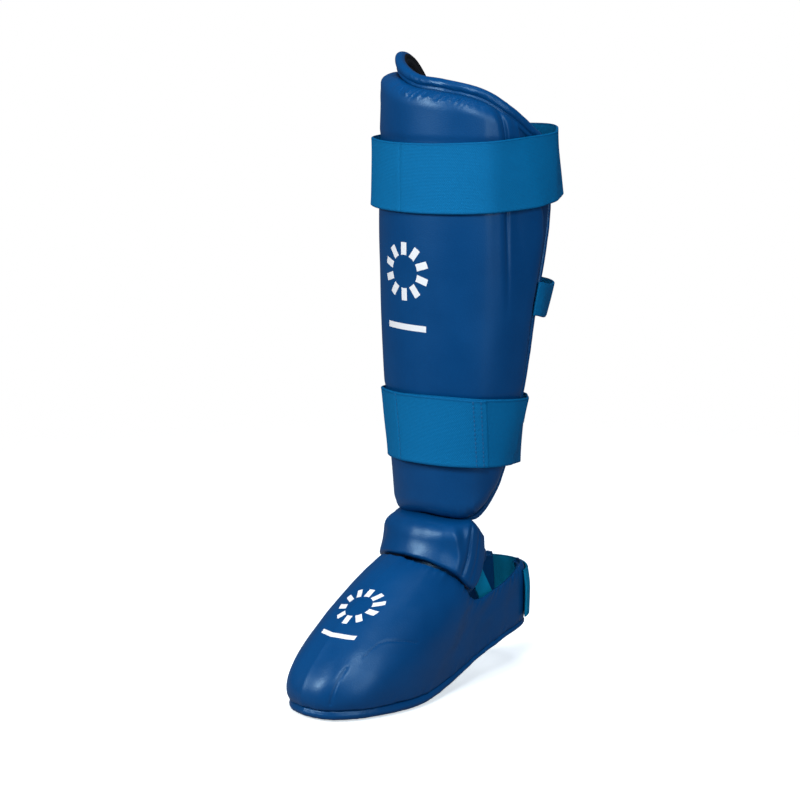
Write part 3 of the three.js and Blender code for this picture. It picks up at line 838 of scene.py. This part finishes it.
def collar_section(share, turn, along):
    """Half widths of the roll: a single lip on the inner side of the leg, then a ridge over a thinner one."""
    size = lerp(0.5, 1, smooth(np.minimum(share, 1 - share), 0, 0.07))
    double = smooth(share, 0.34, 0.52)
    top = (lerp(2.2, 0, double), lerp(0.8, 2.1, double), lerp(4.2, 3.9, double))
    low = (lerp(0.9, 1.0, double), lerp(-3.8, -2.9, double), lerp(4.2, 2.1, double))
    radius = lobed(turn, (top, low))
    outer_side = np.clip(np.cos(turn), 0, 1)
    wrinkle = 0.3 * ridges(along / 6.5 + np.sin(turn), np.sin(turn) * 1.6 + 3, 41) * double
    wrinkle = wrinkle + 0.22 * noise(along / 13, np.sin(turn) * 2, 42)
    radius = radius + wrinkle * (0.3 + 0.7 * outer_side)
    return radius * np.cos(turn) * size, radius * np.sin(turn) * size


def collar_off(share):
    off = lerp(7.2, 2.4, smooth(share, 0.3, 0.5))
    return off * lerp(0.5, 1, smooth(np.minimum(share, 1 - share), 0, 0.07))


def make_collar():
    made = edge_roll("collar", collar_line(), from_leg_middle, collar_off, collar_section, 520, 44)
    return finish_piece(made, "collar_roll", trim_leather)


def make_collar_lining():
    """The black lining where it turns over the inner side of the collar."""
    path = resampled(collar_line(), 260)
    out = from_leg_middle(path)
    away = unit(np.cross(out, unit(np.gradient(path, axis=0))))
    share = np.linspace(0, 1, 260)[:, None]
    turn = np.radians(np.linspace(118, 258, 26))[None, :]
    wide, high = collar_section(share, turn, lengths_along(path)[:, None])
    centre = (path + away * collar_off(share))[:, None, :]
    way = unit(out[:, None, :] * wide[..., None] + away[:, None, :] * high[..., None])
    edge = smooth(np.minimum(turn - turn[0, 0], turn[0, -1] - turn), 0, 0.2)[..., None]
    skin = centre + out[:, None, :] * wide[..., None] + away[:, None, :] * high[..., None]
    outer = skin + way * (0.25 + 0.6 * edge)
    inner = skin - way * 0.3
    u = lengths_along(path)[:, None] * MM + 0 * turn
    uv = np.stack(np.broadcast_arrays(u, (turn - math.pi) * 0.005), axis=-1)
    made = shell("collar_lining_cloth", outer, inner, uv)
    return finish_piece(made, "shin_lining", black_cloth)


def binding_line(count=700):
    def place(across, up):
        degrees, z = shin_spot(across, up, "backing")
        return around(hollow, degrees, z, COLLAR_OUT + 0 * z)

    side = np.linspace(0.998, 0, 300)
    across = np.linspace(1, 0, 160)
    parts = [place(1 + 0 * side, side), place(across, 0 * across), place(0 * side, side[::-1])]
    line = np.concatenate([parts[0], parts[1][1:], parts[2][1:]])
    return resampled(line, count)


def make_binding():
    def section(share, turn, along):
        groove = 0.55 * hump(np.sin(turn), 0.1, 0.18) * np.clip(np.cos(turn), 0, 1)
        wrinkle = 0.13 * noise(along / 5, np.sin(turn) + 2, 51)
        wide = (2.3 - groove + wrinkle) * np.cos(turn)
        high = (2.3 + wrinkle) * np.sin(turn)
        return wide, high

    made = edge_roll("side_binding", binding_line(), from_leg_middle, lambda share: 2.2 + 0 * share, section, 620)
    return finish_piece(made, "side_roll", trim_leather)


# Straps


def strap_section(height, raise_at):
    """The points that a strap has to go round at one height: the pad, the edge of the backing and the calf."""
    degrees = np.arange(-180, 180, 3.0)
    z = height + raise_at(degrees)
    found = reach(z)
    off = np.abs(degrees)
    calf = around(leg, degrees, z, 1.0 + 0 * degrees)
    from_side = np.radians(found["pad"] - off) * (hollow(z)["width"] + PAD_BASE)
    on_pad = PAD_BASE + lerp(PAD_EDGE, pad_thickness(degrees, z), rounded(from_side, 13))
    on_edge = LINING + BACKING / 2 + 4.6 + GAP
    guard = around(hollow, degrees, z, np.where(off < found["pad"], on_pad, on_edge))
    return np.concatenate([calf, guard[off < found["backing"] + 5]])


def tight_band(height, raise_at):
    """How far out a band pulled tight at this height lies, by angle."""
    points = strap_section(height, raise_at)
    middle = float(hollow(height)["middle"])
    ways = np.radians(np.arange(0, 360, 2.0))
    way = np.stack([np.sin(ways), -np.cos(ways)], axis=-1)
    flat = points[:, :2] - np.array([0, middle])
    far = (flat @ way.T).max(axis=0)

    def distance(degrees):
        turn = np.radians(np.asarray(degrees, float))
        along = np.stack([np.sin(turn), -np.cos(turn)], axis=-1) @ way.T
        return (far / np.maximum(along, 1e-6)).min(axis=-1)

    return middle, distance


def softened(values, share):
    """Values along a strap, evened out a little where it bends."""
    reach_out = 7
    weights = np.hanning(2 * reach_out + 1)
    weights = weights / weights.sum()
    padded_values = np.pad(values, reach_out, mode="edge")
    return lerp(values, np.convolve(padded_values, weights, mode="valid"), share)


def make_strap(name, node, strap, seed, end_seams):
    low, high, end, overlap = strap["low"], strap["high"], strap["end"], strap["overlap"]
    tilt, toward = strap["tilt"], strap["toward"]
    puff, seam_at = strap["puff"], strap["seam"]
    count = 520
    turned = np.linspace(0, 360 + overlap, count)
    degrees = end - overlap + turned

    def raise_at(angle):
        return -tilt * np.cos(np.radians(angle - toward))

    ups = spread(26, 5, 0.02)
    rows = []
    lift = (ELASTIC + 2 * GAP) * smooth(turned, 320, 360)
    for up in ups:
        z = lerp(low, high, up)
        middle, distance = tight_band(z, raise_at)
        off = puff * (1 - smooth(np.abs(degrees + 50), 0, 45))
        far = softened(distance(degrees), 0.8) + 1.1 + lift + off
        curl = 0.5 * (abs(2 * up - 1)) ** 5
        wave = 0.35 * noise(turned / 26, up * 1.6, seed) * smooth(turned, 4, 20)
        near_seam = ((degrees - seam_at + 180) % 360) - 180
        pinch = -0.6 * hump(near_seam, 0, 0.8) + 0.3 * hump(near_seam, 0, 5)
        out = far + curl + wave + pinch
        upright_end = 6.5 * (0.5 - up) * smooth(turned, 320, 360 + overlap)
        turn = np.radians(degrees + upright_end)
        edge_wave = 0.5 * noise(turned / 30, 0, seed + 3) * (2 * up - 1)
        height = z + raise_at(degrees) + edge_wave
        rows.append(np.stack([out * np.sin(turn), middle - out * np.cos(turn), height], axis=-1))
    inner = np.array(rows)
    across = unit(np.gradient(inner, axis=0))
    along = unit(np.gradient(inner, axis=1))
    outwards = unit(np.cross(along, across))
    begins = math.radians(degrees[0])
    if outwards[0, 0, 0] * math.sin(begins) - outwards[0, 0, 1] * math.cos(begins) < 0:
        outwards = -outwards
    edge = rounded(np.minimum(ups, 1 - ups) * (high - low), 0.9)[:, None, None]
    thick = ELASTIC * (0.35 + 0.65 * edge)
    ends = np.minimum(turned, turned[-1] - turned)[None, :, None]
    thick = thick * (0.45 + 0.55 * smooth(ends, 0, 0.8))
    outer = inner + outwards * thick
    length = lengths_along(inner[len(ups) // 2])
    u = length[None, :] * MM + 0 * ups[:, None]
    v = (ups[:, None] - 0.5) * (high - low) * MM + 0 * length[None, :]
    uv = np.stack([u, v], axis=-1)
    made = shell(name, outer, inner, uv)
    finish_piece(made, node, bright_elastic)
    near = ((degrees - seam_at + 180) % 360) - 180
    seams = []
    column = int(np.argmin(np.where(turned > 300, np.abs(near), 999)))
    inside = slice(3, len(ups) - 3)
    seams.append(stitches(name + "_seam", outer[inside, column], outwards[inside, column]))
    for k, back in enumerate((5, 11)):
        if not end_seams:
            break
        line = outer[inside, count - 1 - back]
        seams.append(stitches(name + "_end_seam_%d" % k, line, outwards[inside, count - 1 - back]))
    for seam_row in seams:
        finish_piece(seam_row, None, bright_thread)
    return made


def make_calf_strap():
    low, high, tuck, drop = 305, 332, 3, 7
    ups = spread(14, 4, 0.03)
    share = np.linspace(0, 1, 260)
    rows = []
    for up in ups:
        z = lerp(low, high, up)
        start = float(reach(z)["backing"]) - tuck
        degrees = lerp(start, 360 - start, share)
        off = np.minimum(degrees - start, 360 - start - degrees)
        on_guard = around(hollow, degrees, z + 0 * degrees, PAD_BASE + GAP + 0 * degrees)
        on_leg = around(leg, degrees, z + 0 * degrees, 1.0 + 0 * degrees)
        row = lerp(on_guard, on_leg, smooth(off, tuck + 4, tuck + 30)[:, None])
        row[:, 2] -= drop * smooth(off, 0, 30)
        rows.append(row)
    inner = np.array(rows)
    across = unit(np.gradient(inner, axis=0))
    along = unit(np.gradient(inner, axis=1))
    outwards = unit(np.cross(along, across))
    if outwards[7, 0, 0] < 0:
        outwards = -outwards
    edge = rounded(np.minimum(ups, 1 - ups) * 30, 0.9)[:, None, None]
    outer = inner + outwards * ELASTIC * (0.35 + 0.65 * edge)
    length = lengths_along(inner[7])
    uv = np.stack(np.broadcast_arrays(length[None, :] * MM, (ups[:, None] - 0.5) * 30 * MM), axis=-1)
    return finish_piece(shell("calf_strap_band", outer, inner, uv), "calf_strap", narrow_elastic)


# Foot guard


# How far the cover's top edge reaches out and up under the instep pad.
throat = table(
    rows_of(
        "at out up",
        (0, 11, 6),
        (0.09, 12, 6),
        (0.19, 12, 5),
        (0.3, 9, 3.5),
        (0.41, 3, 1),
        (0.5, 0, 0),
        (0.6, 0, 0),
        (1, 0, 0),
    )
)


def foot_points(across, up):
    """Points of the foot guard's outer face."""
    across, up = np.broadcast_arrays(np.asarray(across, float), np.asarray(up, float))
    row = foot_face(np.abs(across))
    foot = np.stack([row["foot_x"], row["foot_y"], row["foot_z"]], axis=-1)
    top = np.stack([row["top_x"], row["top_y"], row["top_z"]], axis=-1)
    heel = smooth(row["foot_y"], -140, -20)[..., None]
    centre = lerp(np.array([0.0, -120.0, 0.0]), np.array([0.0, 8.0, 0.0]), heel)
    away = foot - centre
    away[..., 2] = 0
    away = unit(away)
    upright = np.array([0.0, 0.0, 1.0])
    rise = (0.3 * (row["top_z"] - row["foot_z"]))[..., None]
    low = foot + away * row["bulge"][..., None] + upright * rise
    high = top + away * row["fill"][..., None] - upright * (0.04 * row["fill"])[..., None]
    edge = throat(np.abs(across))
    high = high + upright * (0.8 * edge["up"])[..., None]
    top = top + away * edge["out"][..., None] + upright * edge["up"][..., None]
    t = up[..., None]
    point = (1 - t) ** 3 * foot + 3 * (1 - t) ** 2 * t * low + 3 * (1 - t) * t * t * high + t**3 * top
    point[..., 0] = np.where(across < 0, -1, 1) * point[..., 0]
    return point


def foot_grid(up_count, across_count, up_edge=6, across_edge=4):
    up = spread(up_count, up_edge, 0.02)[:, None]
    across = lerp(-1, 1, spread(across_count, across_edge, 0.004))[None, :]
    face = foot_points(across, up)
    outwards = normals_of(face)
    if outwards[up_count // 2, across_count // 2, 2] < 0:
        outwards = -outwards
    return up, across, face, outwards


TOE_SEAM = [(41, 47), (43.4, 54), (46.2, 59.5), (51.8, 61.4), (57, 61.2), (67, 59.3), (76, 56)]
TOE_DART = [(28.8, 7), (29.6, 22), (31, 37)]


def make_foot():
    up, across, face, outwards = foot_grid(150, 520)
    off = np.abs(across)
    wall = foot_face(off)["wall"] + 0 * up
    girth = 280 * across
    rise = np.concatenate(
        [np.zeros((1, face.shape[1])), np.cumsum(np.linalg.norm(np.diff(face, axis=0), axis=-1), axis=0)], axis=0
    )
    from_top = rise[-1:] - rise
    x = face[..., 0]
    y = face[..., 1]
    from_dart = line_distance(np.abs(girth) + 0 * rise, rise, TOE_DART)
    from_seam = line_distance(np.abs(girth) + 0 * rise, rise, TOE_SEAM)
    out = -0.8 * hump(from_dart, 0, 1.1) + 0.1 * hump(from_dart, 3.5, 3)
    out = out - 0.4 * hump(from_seam, 0, 0.9) + 0.06 * hump(from_seam, 2.6, 2)
    cap = hump(rise, 22, 20)
    out = out + cap * (1.5 * hump(np.abs(girth), 14, 13) + 2.2 * hump(np.abs(girth), 60, 18))
    out = out + 0.8 * noise(x / 34, rise / 38, 61) + 0.35 * noise(x / 13, rise / 17 + y / 40, 62)
    out = out + 0.5 * noise(y / 15, rise / 13, 63) * smooth(y, -110, -60)
    out = out + 0.6 * ridges(girth / 9, rise / 40, 64) * hump(from_top, 0, 8)
    out = out + 0.3 * ridges(girth / 6, rise / 14, 65) * hump(rise, 0, 7)
    heel_fold = smooth(off, 0.93, 0.985) * hump(rise, 8, 8)
    out = out + 2.2 * heel_fold
    edge = rounded(np.minimum(rise, from_top), 2.2)
    outer = face + outwards * (out - wall * 0.32 * (1 - edge))[..., None]
    inner = face - outwards * (wall * (0.7 + 0.3 * edge))[..., None]
    turned_in = throat(off)["out"] * smooth(up, 0.93, 1)
    inner = inner + unit(np.array([0, 8, 0]) - face * np.array([1, 1, 0])) * (0.95 * turned_in)[..., None]
    inner[..., 2] -= 0.3 * turned_in
    uv = np.stack([x * MM, rise * MM], axis=-1)
    made = shell("foot_cover", outer, inner, uv)
    finish_piece(made, "foot_shell", foot_leather)
    seam_on_foot(outer, outwards, girth, rise, TOE_SEAM, "toe_seam")


def seam_on_foot(outer, outwards, girth, rise, points, name):
    """A stitched line on both sides of the toe."""
    for side, label in ((-1, "inner"), (1, "outer")):
        spots = []
        ways = []
        for along in np.linspace(0, len(points) - 1, 60):
            i = min(int(along), len(points) - 2)
            where = lerp(np.array(points[i]), np.array(points[i + 1]), along - i)
            column = int(np.argmin(np.abs(girth[0] - side * where[0])))
            row = int(np.argmin(np.abs(rise[:, column] - where[1])))
            spots.append(outer[row, column])
            ways.append(outwards[row, column])
        made = stitches("%s_%s" % (name, label), np.array(spots), np.array(ways), 1.7, 2.7, 0.13)
        finish_piece(made, None, blue_thread)


def make_sole_roll():
    across = np.linspace(1, -1, 900)
    step = 0.004
    here = foot_points(across, 0 * across)
    sideways = foot_points(across + step, 0 * across) - foot_points(across - step, 0 * across)
    upwards = foot_points(across, step + 0 * across) - here
    outwards = unit(np.cross(sideways, upwards))
    wall = foot_face(np.abs(across))["wall"]
    edge = here - outwards * (wall / 2)[:, None]
    edge[:, 2] = foot_face(np.abs(across))["foot_z"]

    def out_from_foot(path):
        out = np.stack([path[:, 0], np.minimum(path[:, 1] + 110, 0) + np.maximum(path[:, 1], 0), 0 * path[:, 0]], axis=-1)
        return unit(out)

    def size(share):
        return lerp(2.7, 4.2, smooth(0.5 - np.abs(share - 0.5), 0.16, 0.36))

    def section(share, turn, along):
        groove = 0.5 * hump(np.sin(turn), -0.35, 0.16) * np.clip(np.cos(turn), 0, 1)
        wrinkle = 0.16 * noise(along / 6, np.sin(turn) + 2, 71) + 0.1 * noise(along / 2.6, np.sin(turn) + 2, 72)
        radius = size(share) + wrinkle - groove
        return radius * np.cos(turn), radius * np.sin(turn)

    made = edge_roll("sole_binding", edge, out_from_foot, lambda share: size(share) - 0.5, section, 640)
    return finish_piece(made, "sole_roll", trim_leather)


def make_tongue():
    ups = spread(46, 8, 0.06)[:, None]
    degrees = lerp(-104, 104, spread(110, 8, 0.02))[None, :]
    edges = tongue_edge(np.abs(degrees))
    z = lerp(edges["low"], edges["high"] + 6 * (1 - smooth(np.abs(degrees), 62, 80)), ups)
    arc = np.radians(degrees) * 36
    to_edge = np.minimum(z - z[:1], z[-1:] - z)
    to_side = np.radians(104 - np.abs(degrees)) * 36
    round_edge = rounded(to_edge, 2.2) * rounded(to_side, 2.2)
    puff = 0.5 * noise(arc / 9, z / 11, 81) * smooth(np.abs(degrees), 80, 95)
    outer = around(instep, degrees, z, 2.0 + 2.0 * round_edge + puff * round_edge)
    inner = around(instep, degrees, z, 2.0 - 2.0 * round_edge)
    uv = np.stack(np.broadcast_arrays(arc * MM, z * MM), axis=-1)
    return finish_piece(shell("tongue_cover", outer, inner, uv), "tongue", wing_leather)


front_edge = table(rows_of("z angle", (84, 44), (99, 46), (113, 48.6), (124, 45), (135, 39.5), (143, 33)))
side_pleat = table(rows_of("z angle", (84, 47), (99, 54), (113, 58.5), (124, 60.5), (135, 63), (143, 64)))
back_pleat = table(rows_of("z angle", (84, 60), (99, 66), (113, 71), (124, 74), (135, 75), (143, 75)))


def make_instep_pad():
    ups = spread(110, 16, 0.1)[:, None]
    degrees = lerp(-90, 90, spread(200, 14, 0.05))[None, :]
    edges = instep_edge(np.abs(degrees))
    low = edges["low"] + 3 * smooth(np.abs(degrees), 60, 74)
    high = edges["high"] + 2.5 * hump(np.abs(degrees), 72, 16)
    z = lerp(low, high, ups)
    base = 4.6
    from_side = np.radians(90 - np.abs(degrees)) * 50
    full = rounded(from_side, 12) * rounded(high - z, lerp(12, 8, smooth(np.abs(degrees), 50, 75))) * rounded(z - low, 7)
    thick = lerp(22, 5.5, smooth(np.abs(degrees), 30, 90))
    arc = np.radians(degrees) * 48
    out = lerp(3, thick, full)

    def from_line(line):
        return np.radians(np.abs(degrees) - line(z)["angle"]) * 48

    fade = smooth(z - low, 0, 10) * smooth(high - z, 0, 8)
    out = out + fade * (1.3 * hump(from_line(front_edge), 0, 3.4) - 1.1 * hump(from_line(front_edge), 7, 5))
    out = out - fade * 1.3 * hump(from_line(side_pleat), 0, 1.6)
    out = out + fade * 0.5 * hump(from_line(side_pleat), -4, 3)
    out = out - fade * 0.5 * hump(from_line(back_pleat), 0, 1.6)
    out = out + 0.6 * noise(arc / 26, z / 22, 91) * full + 0.3 * noise(arc / 9, z / 14, 92) * full
    out = out + 0.5 * ridges(arc / 5.5, z / 30, 93) * hump(z - low, 0, 4)
    out = out + 0.4 * ridges(arc / 7, z / 30, 94) * hump(high - z, 0, 5)
    out = out - 1.9 * full * hump(z - low, 19, 9) * (1 - smooth(np.abs(degrees), 36, 52))
    out = np.maximum(out, 0.9)
    puff = 5 * smooth(ups, 0.4, 1) * (1 - smooth(np.abs(degrees), 62, 84))
    outer = around(instep, degrees, z, base + out)
    outer[..., 2] += puff
    inner = around(instep, degrees, z, base + 0 * out)
    uv = np.stack(np.broadcast_arrays(arc * MM, z * MM), axis=-1)
    return finish_piece(shell("instep_cushion", outer, inner, uv), "instep_pad", trim_leather)


def make_ankle_elastic(side, node):
    ups = np.linspace(0, 1, 30)[:, None]
    across = spread(16, 4, 0.05)[None, :]
    z = lerp(50, 98, ups)
    front = lerp(-20, -42, ups)
    back = lerp(0, -26.5, ups)
    y = lerp(front, back, across)
    x = lerp(32.6, 30, ups) + 0 * across
    edge = rounded(np.minimum(across, 1 - across) * 22, 0.9)
    inner = np.stack(np.broadcast_arrays(side * x, y, z), axis=-1)
    outer = np.stack(np.broadcast_arrays(side * (x + ELASTIC * (0.35 + 0.65 * edge)), y, z), axis=-1)
    uv = np.stack(np.broadcast_arrays(z * MM, (across - 0.5) * 0.02), axis=-1)
    return finish_piece(shell(node + "_band", outer, inner, uv), node, teal_elastic)


def make_heel_elastic():
    half = np.array([[38.5, 20], [33.5, 29], [25, 38], [14, 45], [0, 48]], float)
    line = np.concatenate([half, half[-2::-1] * np.array([-1, 1])])
    dense = smooth_line(np.column_stack([line, np.zeros(len(line))]), 200)
    middle = np.array([0, 10, 0])
    outwards = unit(dense - middle)
    ups = spread(18, 4, 0.03)
    edge = rounded(np.minimum(ups, 1 - ups) * 40, 0.9)[:, None, None]
    z = lerp(46, 86, ups)[:, None]
    lean = table(rows_of("z out", (46, 0.6), (72, 0.8), (86, -1)))(z)["out"]
    inner = dense[None] + outwards[None] * lean[..., None]
    inner[..., 2] = z
    outer = inner + outwards[None] * ELASTIC * (0.35 + 0.65 * edge)
    length = lengths_along(dense)
    uv = np.stack(np.broadcast_arrays(length[None, :] * MM, (ups[:, None] - 0.5) * 0.04), axis=-1)
    return finish_piece(shell("heel_elastic_band", outer, inner, uv), "heel_elastic", teal_elastic)


def smooth_line(points, count):
    """A smooth line through points, as evenly spaced ones."""
    reads = table(
        [{"at": i, "x": p[0], "y": p[1], "z": p[2]} for i, p in enumerate(points)]
    )
    found = reads(np.linspace(0, len(points) - 1, 40 * len(points)))
    return resampled(np.stack([found["x"], found["y"], found["z"]], axis=-1), count)


def make_sole_strap(name, node, start, stop, half_start, half_stop, rise):
    def line(half):
        turns = np.radians(np.linspace(0, 90, 9))
        side = [[half + 4, rise], [half + 1.2, 15]]
        side += [[half - 8 + 8 * math.cos(a), 8.8 - 8 * math.sin(a)] for a in turns]
        side = np.array(side)
        spots = np.concatenate([side, (side * np.array([-1, 1]))[::-1]])
        tangent = unit(np.gradient(spots, axis=0))
        inwards = np.stack([tangent[:, 1], -tangent[:, 0]], axis=-1)
        return spots, inwards

    ups = spread(12, 4, 0.04)
    outer_rows = []
    inner_rows = []
    for share in ups:
        spots, inwards = line(lerp(half_start, half_stop, share))
        y = np.full((len(spots), 1), lerp(start, stop, share))
        deep = ELASTIC * (0.35 + 0.65 * rounded(min(share, 1 - share) * 28, 0.9))
        lower = spots
        upper = spots + inwards * deep
        outer_rows.append(np.column_stack([lower[:, 0], y, lower[:, 1]]))
        inner_rows.append(np.column_stack([upper[:, 0], y, upper[:, 1]]))
    outer = np.array(outer_rows)
    inner = np.array(inner_rows)
    length = lengths_along(outer[8])
    uv = np.stack(np.broadcast_arrays(length[None, :] * MM, (ups[:, None] - 0.5) * 0.028), axis=-1)
    return finish_piece(shell(name, outer, inner, uv), node, pale_elastic)


def make_joining_tab():
    z = np.linspace(118, 172, 40)[:, None]
    across = spread(16, 4, 0.05)[None, :] * 2 - 1
    found = hollow(z)
    shin = found["middle"] - found["depth"]
    below = instep(z)
    ankle = below["middle"] - below["depth"]
    front = lerp(ankle, shin, smooth(z, 136, 142)) + 1.2 + 3.2 * across * across
    outer = np.stack(np.broadcast_arrays(across * 15, front, z), axis=-1)
    inner = np.stack(np.broadcast_arrays(across * 15, front + 1.6, z), axis=-1)
    uv = np.stack(np.broadcast_arrays(z * MM, across * 0.015), axis=-1)
    return finish_piece(shell("joining_tab_cloth", outer, inner, uv), "joining_tab", black_cloth)


make_shin_pad()
make_backing()
make_lining()
make_collar()
make_collar_lining()
make_binding()
make_strap("upper_strap_band", "upper_strap", UPPER_STRAP, 101, False)
make_strap("lower_strap_band", "lower_strap", LOWER_STRAP, 111, True)
make_calf_strap()
make_foot()
make_sole_roll()
make_tongue()
make_instep_pad()
make_ankle_elastic(-1, "ankle_elastic_inner")
make_ankle_elastic(1, "ankle_elastic_outer")
make_heel_elastic()
make_sole_strap("sole_strap_front_band", "sole_strap_front", -170, -142, 26.5, 34.5, 26)
make_sole_strap("sole_strap_rear_band", "sole_strap_rear", -126, -98, 39.5, 39, 32)
make_joining_tab()

# Floor and light


def make_floor():
    """A pale floor that fades into the white behind it."""
    bpy.ops.object.select_all(action="DESELECT")
    bpy.ops.mesh.primitive_plane_add(size=6, location=(0, 0, 0))
    floor = bpy.context.object
    floor.name = "floor"
    material, tree, shader = new_material("floor_white")
    place = tree.nodes.new("ShaderNodeTexCoord")
    far = tree.nodes.new("ShaderNodeVectorMath")
    far.operation = "LENGTH"
    link(tree, place.outputs["Object"], far.inputs[0])
    fade = tree.nodes.new("ShaderNodeMapRange")
    fade.interpolation_type = "SMOOTHSTEP"
    fade.inputs["From Min"].default_value = 0.35
    fade.inputs["From Max"].default_value = 1.1
    fade.inputs["To Min"].default_value = 1
    fade.inputs["To Max"].default_value = 0
    link(tree, far.outputs["Value"], fade.inputs["Value"])
    link(tree, fade.outputs["Result"], shader.inputs["Alpha"])
    paths = tree.nodes.new("ShaderNodeLightPath")
    seen = paths.outputs["Is Camera Ray"]
    link(tree, mixed(tree, seen, (0.2, 0.23, 0.27), (0.86, 0.9, 0.93)), shader.inputs["Base Color"])
    link(tree, maths(tree, "MULTIPLY", seen, 0.62), shader.inputs["Emission Strength"])
    shader.inputs["Roughness"].default_value = 0.7
    shader.inputs["Specular IOR Level"].default_value = 0.1
    shader.inputs["Emission Color"].default_value = (0.9, 0.96, 1, 1)
    floor.data.materials.append(material)


def aim(thing, spot):
    thing.rotation_mode = "QUATERNION"
    thing.rotation_quaternion = (Vector(spot) - thing.location).to_track_quat("-Z", "Y")


def area_light(name, place, spot, size, power, color, shines=True):
    lamp = bpy.data.lights.new(name, "AREA")
    lamp.shape = "RECTANGLE"
    lamp.size = size[0]
    lamp.size_y = size[1]
    lamp.energy = power
    lamp.color = color
    made = bpy.data.objects.new(name, lamp)
    made.visible_glossy = shines
    made.location = place
    aim(made, spot)
    bpy.context.scene.collection.objects.link(made)


def make_lights():
    turn = math.radians(AZIMUTH)
    look = Vector((-math.sin(turn), math.cos(turn), 0))
    right = Vector((math.cos(turn), math.sin(turn), 0))
    up = Vector((0, 0, 1))
    key = -look * 0.9 - right * 1.65 + up * 1.15
    area_light("key", key, (0, 0, 0.2), (0.6, 0.6), 29, (1, 0.99, 0.97))
    front = -look * 1.3 - right * 0.1 + up * 1.2
    area_light("front", front, (0, -0.1, 0.1), (0.3, 0.3), 9, (0.98, 0.99, 1))
    fill = -look * 1.9 + right * 0.9 + up * 0.9
    area_light("fill", fill, (0, 0, 0.2), (0.9, 1.4), 17, (0.92, 0.96, 1))
    top = up * 2.2 - look * 0.3 + right * 0.1
    area_light("top", top, (0, 0, 0.1), (1.1, 1.1), 22, (0.98, 0.99, 1), shines=False)
    world = bpy.data.worlds.new("studio")
    bpy.context.scene.world = world
    world.use_nodes = True
    tree = world.node_tree
    back = tree.nodes["Background"]
    paths = tree.nodes.new("ShaderNodeLightPath")
    shade = tree.nodes.new("ShaderNodeMix")
    shade.data_type = "RGBA"
    shade.inputs["A"].default_value = (0.07, 0.095, 0.14, 1)
    shade.inputs["B"].default_value = (1, 1, 1, 1)
    link(tree, paths.outputs["Is Camera Ray"], shade.inputs["Factor"])
    link(tree, shade.outputs["Result"], back.inputs["Color"])
    back.inputs["Strength"].default_value = 1.0


make_floor()
make_lights()
bpy.context.scene.view_settings.view_transform = "Standard"
